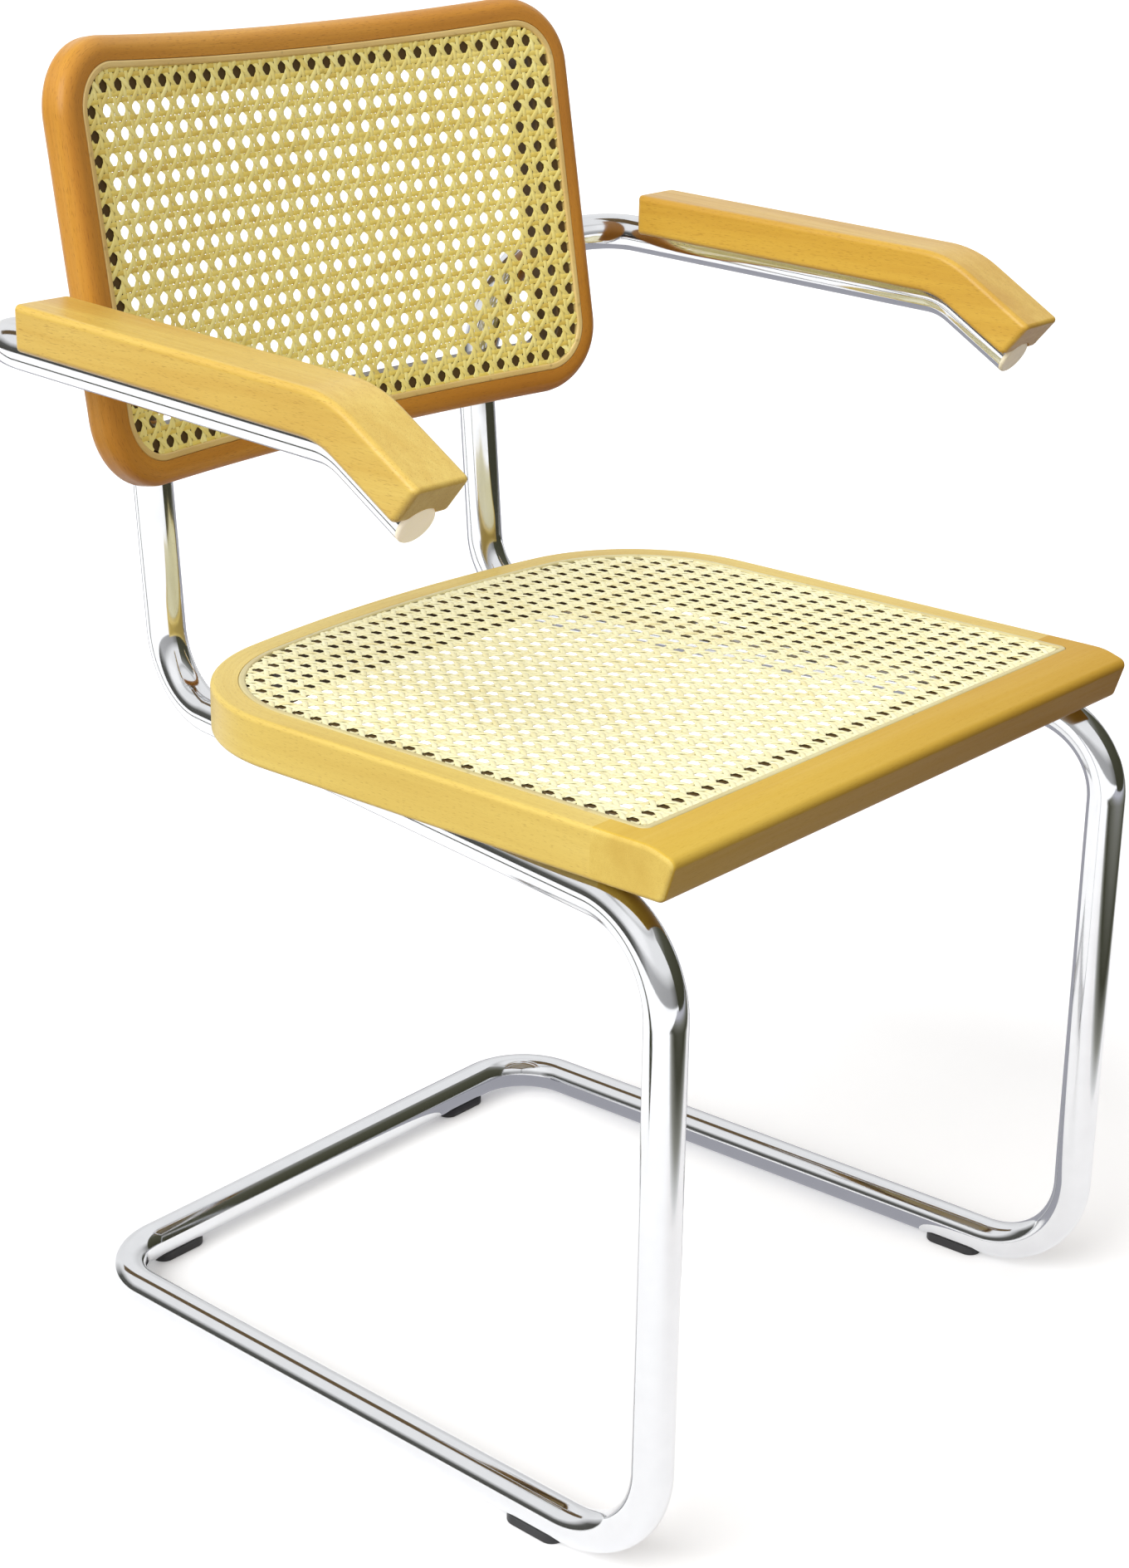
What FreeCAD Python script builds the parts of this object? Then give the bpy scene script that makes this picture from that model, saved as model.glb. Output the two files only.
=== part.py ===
"""Cantilever armchair of bent steel tube with a caned wooden seat and back.

The chair stands on the floor plane z = 0, faces -Y and is symmetric about x = 0.
Its origin is on the floor, in the middle of the chair's width and depth.
All sizes are in millimetres. Each piece is one node, written to parts/NODE.step.
"""

import FreeCAD
import Part

import math
import os

V = FreeCAD.Vector

# Tube of the frame
TUBE_D = 25.0
TUBE_WALL = 2.0
SEAM_GAP = 0.2

# Floor loop and front legs
LEG_HALF = 229.0
LEG_Y = -252.8
BAR_HALF = 215.0
BAR_Y = 239.7
BAR_BEND = 47.0
FOOT_BEND = 65.0
KNEE_BEND = 57.0

# Seat rails, uprights and arms of the tube
UPRIGHT_HALF = 152.5
UPRIGHT_Y = 217.9
UPRIGHT_LEAN = 4.6
HIP_BEND = 50.0
SHOULDER_Z = 645.7
SHOULDER_BEND = 100.0
ELBOW_HALF = 278.0
ELBOW_Y = 236.0
ELBOW_Z = 668.7
ELBOW_BEND = 47.0
ARM_SPLAY = 1.35
ARM_DROP = 2.25
WRIST_Y = -71.0
WRIST_BEND = 45.0
TIP_DROP = 31.2
TIP_L = 61.5

# Hidden joint between the floor loop and each upper tube
JOINT_Y = 60.0
SPIGOT_L = 70.0
SPIGOT_FIT = 0.1

# Seat frame
SEAT_TOP = 461.4
SEAT_THICK = 30.9
SEAT_HALF = 232.7
SEAT_REAR = 171.0
SEAT_BOW = 975.0
SEAT_CORNER = 112.0
SEAT_STOCK = 37.0
SEAT_ARRIS = 3.0
NOSE_Y = -258.0
NOSE_DROP = 5.4
NOSE_RUN = 17.0
NOSE_UNDERCUT = 8.0
NOSE_CROWN = 40.0
NOSE_RADIUS = 5.0
FRONT_STOCK = 57.5
TENON_L = 24.0
TENON_W = 22.0
TENON_H = 12.0
TENON_FIT = 0.15

# Cane panels and the splines that hold them
SPLINE_INSET = 17.0
SPLINE_W = 4.4
SPLINE_DEPTH = 6.0
SPLINE_FRONT = 33.5
SPLINE_PROUD = 0.4
GROOVE_DEPTH = 7.0
CANE_T = 1.2
CANE_DROP = 0.3
CANE_FIT = 0.1
CANE_CORNER = 6.0

# Plain grid of openings that stands for the finer holes of the weave
WEAVE_PITCH = 29.0
WEAVE_OPEN = 19.0
WEAVE_RIM = 3.0

# Back ring
BACK_HALF = 226.5
BACK_UP = 137.0
BACK_DOWN = 135.5
BACK_CORNER = 47.0
BACK_TOP_DIP = 6.0
BACK_FOOT_RISE = 2.5
BACK_THICK = 26.0
BACK_INSET = 15.5
BACK_STOCK = 35.5
BACK_CURVE = 1050.0
BACK_LEAN = 9.6
BACK_Y = 218.0
BACK_Z = 699.5
BACK_FRONT_ARRIS = 11.0
BACK_REAR_ARRIS = 8.0
BACK_INNER_ARRIS = 3.0

# Arm pads
PAD_W = 41.0
PAD_T = 27.6
PAD_SUNK = 8.2
PAD_REAR_Y = 175.0
PAD_REACH = 63.6
PAD_SLANT = 9.0
PAD_NOSE = 2.5
PAD_CHIN = 5.0
PAD_ARRIS = 4.0
PAD_FOOT_ARRIS = 2.0
PAD_FIT = 0.2

# Glides, end caps and screws
GLIDE_H = 4.0
GLIDE_L = 42.0
GLIDE_W = 17.0
GLIDE_SEAT = 9.0
GLIDE_ARRIS = 1.2
GLIDE_STUD_D = 5.0
GLIDE_STUD_L = 12.0
GLIDE_BAR_X = 146.7
GLIDE_LEG_Y = -164.0
CAP_T = 2.5
CAP_PLUG = 14.0
CAP_FIT = 0.1
SCREW_D = 5.0
SCREW_FIT = 0.15
HEAD_D = 11.0
HEAD_H = 3.0
SINK_D = 9.0
SINK_H = 2.4
SINK_DROP = 0.7
SEAT_SCREW_BITE = 16.0
SEAT_SCREW_Y = (-190.0, 132.0)
PAD_SCREW_BITE = 14.0
PAD_SCREW_Y = (130.0, -20.0)
BACK_SCREW_BITE = 12.0
BACK_SCREW_FOOT_Z = 582.0
BACK_SCREW_SIDE_X = 210.0
SPACER_D = 15.0

# Sizes that follow from the ones above
TUBE_R = TUBE_D / 2
BORE_R = TUBE_R - TUBE_WALL
FLOOR_Z = GLIDE_H + TUBE_R
SEAT_FOOT = SEAT_TOP - SEAT_THICK
RAIL_Z = SEAT_FOOT - SEAM_GAP - TUBE_R
FRONT_JOINT = NOSE_Y + FRONT_STOCK
GROOVE_W = SPLINE_W + CANE_T + 2 * CANE_FIT
LEDGE_DROP = CANE_T + CANE_DROP


def lean_y(z):
    """Return the y of an upright's centreline at height z."""
    return UPRIGHT_Y + (z - RAIL_Z) * math.tan(math.radians(UPRIGHT_LEAN))


def rail_x(y):
    """Return the x of the right seat rail's centreline at depth y."""
    return LEG_HALF + (UPRIGHT_HALF - LEG_HALF) * (y - LEG_Y) / (UPRIGHT_Y - LEG_Y)


def runner_x(y):
    """Return the x of the right floor runner's centreline at depth y."""
    return LEG_HALF + (BAR_HALF - LEG_HALF) * (y - LEG_Y) / (BAR_Y - LEG_Y)


def mirrored(shape):
    """Return the shape mirrored across the plane x = 0."""
    return shape.mirror(V(0, 0, 0), V(1, 0, 0))


def rounded_edges(corners, radii, closed=False):
    """Return line and arc edges through the corners, each corner rounded by its radius."""
    count = len(corners)
    turns = range(count) if closed else range(1, count - 1)
    starts = {}
    ends = {}
    arcs = {}
    for i in turns:
        corner = corners[i]
        back = (corners[i - 1] - corner).normalize()
        ahead = (corners[(i + 1) % count] - corner).normalize()
        radius = radii[i]
        if radius == 0:
            starts[i] = corner
            ends[i] = corner
            continue
        half = back.getAngle(ahead) / 2
        reach = radius / math.tan(half)
        inward = (back + ahead).normalize()
        centre = corner + inward * (radius / math.sin(half))
        starts[i] = corner + back * reach
        ends[i] = corner + ahead * reach
        arcs[i] = Part.Arc(starts[i], centre - inward * radius, ends[i]).toShape()
    edges = []
    last = count if closed else count - 1
    for i in range(last):
        j = (i + 1) % count
        a = ends.get(i, corners[i])
        b = starts.get(j, corners[j])
        if a.distanceToPoint(b) > 1e-6:
            edges.append(Part.LineSegment(a, b).toShape())
        if j in arcs:
            edges.append(arcs[j])
    return edges


def bent_tube(corners, radii, diameter):
    """Return a round bar bent along the corners, with its centreline's wire."""
    path = Part.Wire(rounded_edges(corners, radii))
    heading = corners[1] - corners[0]
    ring = Part.Wire(Part.makeCircle(diameter / 2, corners[0], heading))
    return path.makePipeShell([ring], True, False), path


def base_corners():
    """Return the corners and radii of the floor loop, from the left joint to the right one."""
    right = [
        V(rail_x(JOINT_Y), JOINT_Y, RAIL_Z),
        V(LEG_HALF, LEG_Y, RAIL_Z),
        V(LEG_HALF, LEG_Y, FLOOR_Z),
        V(BAR_HALF, BAR_Y, FLOOR_Z),
    ]
    bends = [0, KNEE_BEND, FOOT_BEND, BAR_BEND]
    left = [V(-p.x, p.y, p.z) for p in right]
    return left + right[::-1], bends + bends[::-1]


def upper_corners():
    """Return the corners and radii of the right upper tube, from its joint to its tip."""
    splay = math.tan(math.radians(ARM_SPLAY))
    fall = math.tan(math.radians(ARM_DROP))
    elbow = V(ELBOW_HALF, ELBOW_Y, ELBOW_Z)
    wrist = elbow + V(splay, -1, -fall) * (ELBOW_Y - WRIST_Y)
    tip_fall = math.tan(math.radians(TIP_DROP))
    tipward = V(splay, -1, -tip_fall).normalize()
    corners = [
        V(rail_x(JOINT_Y + SEAM_GAP), JOINT_Y + SEAM_GAP, RAIL_Z),
        V(UPRIGHT_HALF, UPRIGHT_Y, RAIL_Z),
        V(UPRIGHT_HALF, lean_y(SHOULDER_Z), SHOULDER_Z),
        elbow,
        wrist,
        wrist + tipward * TIP_L,
    ]
    return corners, [0, HIP_BEND, SHOULDER_BEND, ELBOW_BEND, WRIST_BEND, 0]


def rod(foot, way, length, radius):
    """Return a cylinder from a foot point along a direction."""
    return Part.makeCylinder(radius, length, foot, way)


def spigot():
    """Return the right hidden spigot that joins the floor loop to the upper tube."""
    corners, _ = upper_corners()
    way = (corners[1] - corners[0]).normalize()
    return rod(corners[0] - way * (SPIGOT_L / 2), way, SPIGOT_L, BORE_R - SPIGOT_FIT)


def joint_bore():
    """Return the right bore that takes the spigot, in both tubes at once."""
    corners, _ = upper_corners()
    way = (corners[1] - corners[0]).normalize()
    length = SPIGOT_L + 2 * SEAM_GAP
    return rod(corners[0] - way * (length / 2), way, length, BORE_R)


def prism(outline, z, height):
    """Return the upright prism on a closed flat wire, from z upwards."""
    face = Part.Face(outline)
    face.translate(V(0, 0, z))
    return face.extrude(V(0, 0, height))


def ring_prism(outer, inner, z, height):
    """Return the upright prism between two closed flat wires, from z upwards."""
    return prism(outer, z, height).cut(prism(inner, z - 1, height + 2))


def seat_outline(inset, front, corner=0.0):
    """Return the seat's outline moved inwards, cut off square at the front.

    The rear is a wide bow that runs into the side corners, and its arcs keep their
    centres at every inset.
    """
    half = SEAT_HALF - inset
    radius = SEAT_CORNER - inset
    bow = SEAT_BOW - inset
    bow_y = SEAT_REAR - SEAT_BOW
    corner_x = SEAT_HALF - SEAT_CORNER
    rise = math.sqrt((SEAT_BOW - SEAT_CORNER) ** 2 - corner_x**2)
    corner_y = bow_y + rise
    meet = math.atan2(rise, corner_x)
    middle = meet / 2
    side = V(half, corner_y, 0)
    bulge = V(corner_x + radius * math.cos(middle), corner_y + radius * math.sin(middle), 0)
    joint = V(bow * math.cos(meet), bow_y + bow * math.sin(meet), 0)
    crown = V(0, bow_y + bow, 0)
    flip = [V(-p.x, p.y, 0) for p in (side, bulge, joint)]
    front_run = [flip[0], V(-half, front, 0), V(half, front, 0), side]
    edges = rounded_edges(front_run, [0, corner, corner, 0])
    edges.append(Part.Arc(side, bulge, joint).toShape())
    edges.append(Part.Arc(joint, crown, flip[2]).toShape())
    edges.append(Part.Arc(flip[2], flip[1], flip[0]).toShape())
    return Part.Wire(edges)


def spline_front(inset):
    """Return the y of the spline's front line, moved inwards past its outer edge."""
    return NOSE_Y + SPLINE_FRONT + inset - SPLINE_INSET


def caned_outline(inset):
    """Return an outline that runs with the spline round the seat's four sides."""
    return seat_outline(inset, spline_front(inset), CANE_CORNER)


def seat_groove():
    """Return the cutter of the spline's groove and of the lowered ledge inside it."""
    ledge = SPLINE_INSET + GROOVE_W
    groove = ring_prism(
        caned_outline(SPLINE_INSET), caned_outline(ledge), SEAT_TOP - GROOVE_DEPTH, 2 * GROOVE_DEPTH
    )
    recess = prism(caned_outline(ledge), SEAT_TOP - LEDGE_DROP, 2 * LEDGE_DROP)
    return groove.fuse(recess)


def tenon(fit):
    """Return the right side rail's tenon, grown by a fit to cut its mortise."""
    x = SEAT_HALF - SEAT_STOCK / 2 - TENON_W / 2 - fit
    z = SEAT_FOOT + SEAT_THICK / 2 - TENON_H / 2 - fit
    depth = TENON_L + fit
    block = Part.makeBox(TENON_W + 2 * fit, depth + 1, TENON_H + 2 * fit)
    block.translate(V(x, FRONT_JOINT - depth, z - SEAT_THICK / 8))
    return block


def seat_bent_rail():
    """Return the bent U of the seat frame: both sides and the bowed rear in one piece."""
    outer = seat_outline(0, FRONT_JOINT)
    inner = seat_outline(SEAT_STOCK, FRONT_JOINT - 1)
    blank = prism(outer, SEAT_FOOT, SEAT_THICK)
    arrises = [e for e in blank.Edges if is_rim(e, FRONT_JOINT)]
    blank = blank.makeFillet(SEAT_ARRIS, arrises)
    rail = blank.cut(prism(inner, SEAT_FOOT - 1, SEAT_THICK + 2))
    for side in (tenon(0), mirrored(tenon(0))):
        rail = rail.fuse(side)
    return rail.removeSplitter().cut(seat_groove())


def is_rim(edge, joint_y):
    """Tell whether an edge runs along the outline's top or foot, away from the front joint."""
    box = edge.BoundBox
    flat = box.ZLength < 0.01
    return flat and box.YMax > joint_y + 0.01


def seat_front_rail():
    """Return the front rail: a rolled nose over an undercut front, along the whole width."""
    profile = [
        V(0, FRONT_JOINT, SEAT_FOOT),
        V(0, FRONT_JOINT, SEAT_TOP),
        V(0, NOSE_Y + NOSE_RUN, SEAT_TOP),
        V(0, NOSE_Y, SEAT_TOP - NOSE_DROP),
        V(0, NOSE_Y + NOSE_UNDERCUT, SEAT_FOOT),
    ]
    bends = [0, 0, NOSE_CROWN, NOSE_RADIUS, NOSE_RADIUS]
    face = Part.Face(Part.Wire(rounded_edges(profile, bends, True)))
    face.translate(V(-SEAT_HALF, 0, 0))
    rail = face.extrude(V(2 * SEAT_HALF, 0, 0))
    rail = rail.makeFillet(SEAT_ARRIS, [e for e in rail.Edges if is_end_arris(e)])
    for side in (tenon(TENON_FIT), mirrored(tenon(TENON_FIT))):
        rail = rail.cut(side)
    return rail.cut(seat_groove())


def is_end_arris(edge):
    """Tell whether an edge outlines one of the front rail's ends, away from the side rail."""
    box = edge.BoundBox
    return box.XLength < 0.01 and box.YMin < FRONT_JOINT - 0.01


def seat_spline():
    """Return the round-topped spline that wedges the cane into the seat's groove."""
    outer = caned_outline(SPLINE_INSET + CANE_FIT)
    inner = caned_outline(SPLINE_INSET + CANE_FIT + SPLINE_W)
    spline = ring_prism(outer, inner, SEAT_TOP + SPLINE_PROUD - SPLINE_DEPTH, SPLINE_DEPTH)
    crown = SEAT_TOP + SPLINE_PROUD
    top = [e for e in spline.Edges if e.BoundBox.ZMin > crown - 0.01]
    return spline.makeFillet(SPLINE_W / 4, top)


def weave_openings(clear, half, low, high, rise, depth):
    """Return the boxes of a centred grid of openings that lie inside a clear solid.

    The grid spans half to both sides and from low to high along the rise direction, and
    its boxes run along the depth direction, through the clear solid's middle.
    """
    columns = int(2 * half / WEAVE_PITCH)
    rows = int((high - low) / WEAVE_PITCH)
    level = depth * clear.BoundBox.Center.dot(depth)
    size = V(WEAVE_OPEN, 0, 0) + rise * WEAVE_OPEN + depth * (4 * BACK_THICK)
    reach = WEAVE_OPEN / 2
    boxes = []
    for i in range(columns):
        for j in range(rows):
            up = (low + high) / 2 + (j - (rows - 1) / 2) * WEAVE_PITCH
            middle = V((i - (columns - 1) / 2) * WEAVE_PITCH, 0, 0) + rise * up + level
            spots = [middle + V(a * reach, 0, 0) + rise * (b * reach) for a in (-1, 1) for b in (-1, 1)]
            if all(clear.isInside(p, 0.01, True) for p in spots):
                boxes.append(Part.makeBox(size.x, size.y, size.z, middle - size * 0.5))
    return Part.makeCompound(boxes)


def seat_cane():
    """Return the seat's cane panel, its weave a plain grid, with its edge turned down into the groove."""
    edge = SPLINE_INSET + GROOVE_W - CANE_T
    top = SEAT_TOP - CANE_DROP
    depth = SPLINE_DEPTH - SPLINE_PROUD
    rim = SEAT_STOCK + WEAVE_RIM
    low = FRONT_JOINT + WEAVE_RIM
    clear = prism(seat_outline(rim, low), SEAT_FOOT, SEAT_THICK)
    holes = weave_openings(clear, SEAT_HALF - rim, low, SEAT_REAR - rim, V(0, 1, 0), V(0, 0, 1))
    panel = prism(caned_outline(edge), top - CANE_T, CANE_T).cut(holes)
    inner = caned_outline(edge + CANE_T - CANE_FIT)
    lip = ring_prism(caned_outline(edge), inner, SEAT_TOP - depth, depth - CANE_DROP)
    return panel.fuse(lip).removeSplitter()


def in_back(shape):
    """Return a shape of the back's own frame leant back and set in its place."""
    lean = FreeCAD.Rotation(V(1, 0, 0), -BACK_LEAN)
    shape = shape.copy()
    shape.Placement = FreeCAD.Placement(V(0, BACK_Y, BACK_Z), lean).multiply(shape.Placement)
    return shape


def back_prism(inset):
    """Return the back's rounded outline, moved inwards, as a long prism along its depth."""
    half = BACK_HALF - inset
    top = BACK_UP - inset
    foot = -BACK_DOWN + inset
    near = -BACK_THICK * 2
    a, b = V(-half, near, foot), V(half, near, foot)
    c, d = V(half, near, top), V(-half, near, top)
    edges = [
        Part.Arc(a, V(0, near, foot + BACK_FOOT_RISE), b).toShape(),
        Part.LineSegment(b, c).toShape(),
        Part.Arc(c, V(0, near, top - BACK_TOP_DIP), d).toShape(),
        Part.LineSegment(d, a).toShape(),
    ]
    block = Part.Face(Part.Wire(edges)).extrude(V(0, 4 * BACK_THICK, 0))
    corners = [e for e in block.Edges if e.BoundBox.YLength > BACK_THICK]
    return block.makeFillet(BACK_CORNER - inset, corners)


def back_layer(front, rear):
    """Return the curved slab between two depths behind the back's front surface."""
    foot = -BACK_DOWN - BACK_CORNER
    tall = BACK_UP + BACK_DOWN + 2 * BACK_CORNER
    centre = V(0, -BACK_CURVE, foot)
    outer = Part.makeCylinder(BACK_CURVE + rear, tall, centre)
    inner = Part.makeCylinder(BACK_CURVE + front, tall, centre)
    window = Part.makeBox(4 * BACK_HALF, 4 * BACK_THICK, tall, V(-2 * BACK_HALF, -2 * BACK_THICK, foot))
    return outer.cut(inner).common(window)


def back_sheet(inset, front, rear):
    """Return the part of a curved layer inside the back's outline moved inwards."""
    return back_prism(inset).common(back_layer(front, rear))


def back_ring():
    """Return the back's bent wooden ring with its spline groove and lowered ledge."""
    blank = back_sheet(0, 0, BACK_THICK)
    front = [e for e in blank.Edges if on_layer(e, 0)]
    blank = blank.makeFillet(BACK_FRONT_ARRIS, front)
    rear = [e for e in blank.Edges if on_layer(e, BACK_THICK)]
    blank = blank.makeFillet(BACK_REAR_ARRIS, rear)
    ring = blank.cut(back_prism(BACK_STOCK))
    ring = ring.makeFillet(BACK_INNER_ARRIS, [e for e in ring.Edges if on_layer(e, BACK_THICK)])
    ledge = BACK_INSET + GROOVE_W
    groove = back_sheet(BACK_INSET, -1, GROOVE_DEPTH).cut(back_prism(ledge))
    recess = back_sheet(ledge, -1, LEDGE_DROP)
    return ring.cut(groove).cut(recess)


def on_layer(edge, depth):
    """Tell whether an edge lies at one depth behind the back's front surface."""
    radius = BACK_CURVE + depth
    middle = edge.valueAt((edge.FirstParameter + edge.LastParameter) / 2)
    points = [v.Point for v in edge.Vertexes] + [middle]
    return all(abs(math.hypot(p.x, p.y + BACK_CURVE) - radius) < 0.01 for p in points)


def back_spline():
    """Return the spline that wedges the cane into the back's groove."""
    outer = BACK_INSET + CANE_FIT
    sheet = back_sheet(outer, -SPLINE_PROUD, SPLINE_DEPTH - SPLINE_PROUD)
    spline = sheet.cut(back_prism(outer + SPLINE_W))
    crown = [e for e in spline.Edges if on_layer(e, -SPLINE_PROUD)]
    return spline.makeFillet(SPLINE_W / 4, crown)


def back_cane():
    """Return the back's curved cane panel, its weave a plain grid, with its edge turned in."""
    edge = BACK_INSET + GROOVE_W - CANE_T
    rim = BACK_STOCK + WEAVE_RIM
    low = rim - BACK_DOWN + BACK_FOOT_RISE
    high = BACK_UP - BACK_TOP_DIP - rim
    clear = back_prism(rim)
    holes = weave_openings(clear, BACK_HALF - rim, low, high, V(0, 0, 1), V(0, 1, 0))
    panel = back_sheet(edge, CANE_DROP, CANE_DROP + CANE_T).cut(holes)
    lip = back_sheet(edge, CANE_DROP, SPLINE_DEPTH - SPLINE_PROUD)
    lip = lip.cut(back_prism(edge + CANE_T - CANE_FIT))
    return panel.fuse(lip).removeSplitter()


def arm_frame():
    """Return the right arm's line: wrist corner, rearward way, tipward way and its up ways."""
    corners, _ = upper_corners()
    elbow, wrist, tip = corners[3:]
    rearward = (elbow - wrist).normalize()
    tipward = (tip - wrist).normalize()
    across = tipward.cross(rearward).normalize()
    up_rear = rearward.cross(across).normalize()
    up_tip = across.cross(tipward).normalize()
    if up_rear.z < 0:
        across = -across
        up_rear = -up_rear
        up_tip = -up_tip
    return wrist, rearward, tipward, up_rear, up_tip, across


def arm_offset(height):
    """Return the arm line's rear end, wrist corner and nose end, raised by a height."""
    wrist, rearward, tipward, up_rear, up_tip, _ = arm_frame()
    half = up_rear.getAngle(up_tip) / 2
    bisector = (up_rear + up_tip).normalize()
    corner = wrist + bisector * (height / math.cos(half))
    rear = corner + rearward * ((PAD_REAR_Y - corner.y) / rearward.y)
    slant = math.tan(math.radians(PAD_SLANT)) * (height - TUBE_R + PAD_SUNK)
    nose = wrist + tipward * (PAD_REACH + slant) + up_tip * height
    return rear, corner, nose


def arm_pad(groove):
    """Return the right arm pad: a flat board bent down over the tube, which sits in its groove."""
    low = TUBE_R - PAD_SUNK
    high = low + PAD_T
    foot = arm_offset(low)
    crown = arm_offset(high)
    corners = [*foot, *crown[::-1]]
    bends = [PAD_FOOT_ARRIS, WRIST_BEND + low, PAD_CHIN, PAD_NOSE, WRIST_BEND + high, PAD_NOSE]
    across = arm_frame()[5]
    face = Part.Face(Part.Wire(rounded_edges(corners, bends, True)))
    face.translate(across * (-PAD_W / 2))
    board = face.extrude(across * PAD_W)
    middle = Part.Face(Part.Wire(rounded_edges(corners, bends, True)))
    side_edges = [e for e in board.Edges if abs(e.distToShape(middle)[0] - PAD_W / 2) < 0.01]
    rims = [e for e in side_edges if lies_flat(e, across)]
    board = board.makeFillet(PAD_ARRIS, rims)
    return board.cut(groove)


def lies_flat(edge, across):
    """Tell whether an edge runs square to the board's width."""
    chord = edge.valueAt(edge.LastParameter) - edge.valueAt(edge.FirstParameter)
    return abs(chord.normalize().dot(across)) < 0.01


def tip_cap():
    """Return the right domed cap whose plug closes the arm tube's open end."""
    corners, _ = upper_corners()
    tip = corners[-1]
    way = (tip - corners[-2]).normalize()
    disc = rod(tip + way * CAP_FIT, way, CAP_T, TUBE_R)
    far = tip + way * (CAP_FIT + CAP_T)
    rim = [e for e in disc.Edges if e.Closed and e.CenterOfMass.distanceToPoint(far) < 0.1]
    disc = disc.makeFillet(CAP_T - 0.8, rim)
    return disc.fuse(rod(tip + way * CAP_FIT, -way, CAP_PLUG, BORE_R - CAP_FIT))


def tip_bore():
    """Return the bore in the right arm tube's end that takes the cap's plug."""
    corners, _ = upper_corners()
    way = (corners[-1] - corners[-2]).normalize()
    return rod(corners[-1] + way, -way, CAP_PLUG + 2, BORE_R)


def glide(x, y, way, tube):
    """Return a glide: a round-ended shoe that cups the tube from below, with its stud."""
    half = GLIDE_W / 2
    run = GLIDE_L / 2 - half
    out = V(-way.y, way.x, 0)
    centre = V(x, y, 0)
    ends = [centre + way * run, centre - way * run]
    a, b = ends[0] + out * half, ends[1] + out * half
    c, d = ends[1] - out * half, ends[0] - out * half
    edges = [
        Part.LineSegment(a, b).toShape(),
        Part.Arc(b, ends[1] - way * half, c).toShape(),
        Part.LineSegment(c, d).toShape(),
        Part.Arc(d, ends[0] + way * half, a).toShape(),
    ]
    shoe = Part.Face(Part.Wire(edges)).extrude(V(0, 0, GLIDE_SEAT))
    sole = [e for e in shoe.Edges if e.BoundBox.ZMax < 0.01]
    shoe = shoe.makeFillet(GLIDE_ARRIS, sole)
    shoe = shoe.cut(tube)
    stud = rod(centre + V(0, 0, GLIDE_H / 2), V(0, 0, 1), GLIDE_STUD_L, GLIDE_STUD_D / 2)
    return shoe.fuse(stud)


def flush_screw(face, way, length):
    """Return a countersunk screw with its flat face at the face point and its shank along way."""
    head = Part.makeCone(SINK_D / 2, SCREW_D / 2, SINK_H, face, way)
    return head.fuse(rod(face, way, length, SCREW_D / 2))


def flush_hole(face, way, length):
    """Return the countersunk hole that a flush screw of the same face, direction and length needs."""
    sink = Part.makeCone(SINK_D / 2 + SCREW_FIT, SCREW_D / 2 + SCREW_FIT, SINK_H, face, way)
    mouth = rod(face - way * (2 * SINK_DROP), way, 2 * SINK_DROP, SINK_D / 2 + SCREW_FIT)
    shank = rod(face, way, length + SCREW_FIT, SCREW_D / 2 + SCREW_FIT)
    return sink.fuse(mouth).fuse(shank)


def screw(seat, way, length):
    """Return a pan-head screw whose head lies against the seat point, with its shank along way."""
    head = rod(seat - way * HEAD_H, way, HEAD_H, HEAD_D / 2)
    far = seat - way * HEAD_H
    rim = [e for e in head.Edges if e.Closed and e.CenterOfMass.distanceToPoint(far) < 0.1]
    head = head.makeFillet(HEAD_H - 0.6, rim)
    return head.fuse(rod(seat, way, length, SCREW_D / 2))


def screw_hole(seat, way, length):
    """Return the hole that a screw of the same seat, direction and length needs."""
    return rod(seat - way * HEAD_H, way, HEAD_H + length + SCREW_FIT, SCREW_D / 2 + SCREW_FIT)


def seat_screw_places():
    """Return face point, direction and length of the right side's flush seat screws."""
    places = []
    for y in SEAT_SCREW_Y:
        face = V(rail_x(y), y, RAIL_Z - TUBE_R + SINK_DROP)
        length = TUBE_D - SINK_DROP + SEAM_GAP + SEAT_SCREW_BITE
        places.append((face, V(0, 0, 1), length))
    return places


def pad_screw_places():
    """Return face point, direction and length of the right arm pad's flush screws."""
    wrist, rearward, _, up, _, _ = arm_frame()
    places = []
    for y in PAD_SCREW_Y:
        on_line = wrist + rearward * ((y - wrist.y) / rearward.y)
        face = on_line - up * (TUBE_R - SINK_DROP)
        places.append((face, up, TUBE_D - SINK_DROP + PAD_SCREW_BITE))
    return places


def back_screw_places(path):
    """Return centreline point, seat point, direction and length of the right back screws."""
    way = FreeCAD.Rotation(V(1, 0, 0), -BACK_LEAN).multVec(V(0, -1, 0))
    reach = 2 * BACK_HALF
    level_corner = V(0, BACK_Y - reach, BACK_SCREW_FOOT_Z)
    side_corner = V(BACK_SCREW_SIDE_X, BACK_Y + reach, BACK_Z - reach)
    level = Part.makePlane(2 * reach, 2 * reach, level_corner, V(0, 0, 1))
    side = Part.makePlane(2 * reach, 2 * reach, side_corner, V(1, 0, 0))
    places = []
    for cut in (level, side):
        point = path.distToShape(cut)[1][0][0]
        local = in_back_frame(point)
        rear = math.sqrt((BACK_CURVE + BACK_THICK) ** 2 - local.x**2) - BACK_CURVE
        length = local.y - rear + TUBE_R + SEAM_GAP + BACK_SCREW_BITE
        places.append((point, point - way * (TUBE_R + SEAM_GAP), way, length))
    return places


def in_back_frame(point):
    """Return a point of the chair in the back's own frame."""
    lean = FreeCAD.Rotation(V(1, 0, 0), -BACK_LEAN)
    return FreeCAD.Placement(V(0, BACK_Y, BACK_Z), lean).inverse().multVec(point)


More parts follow.
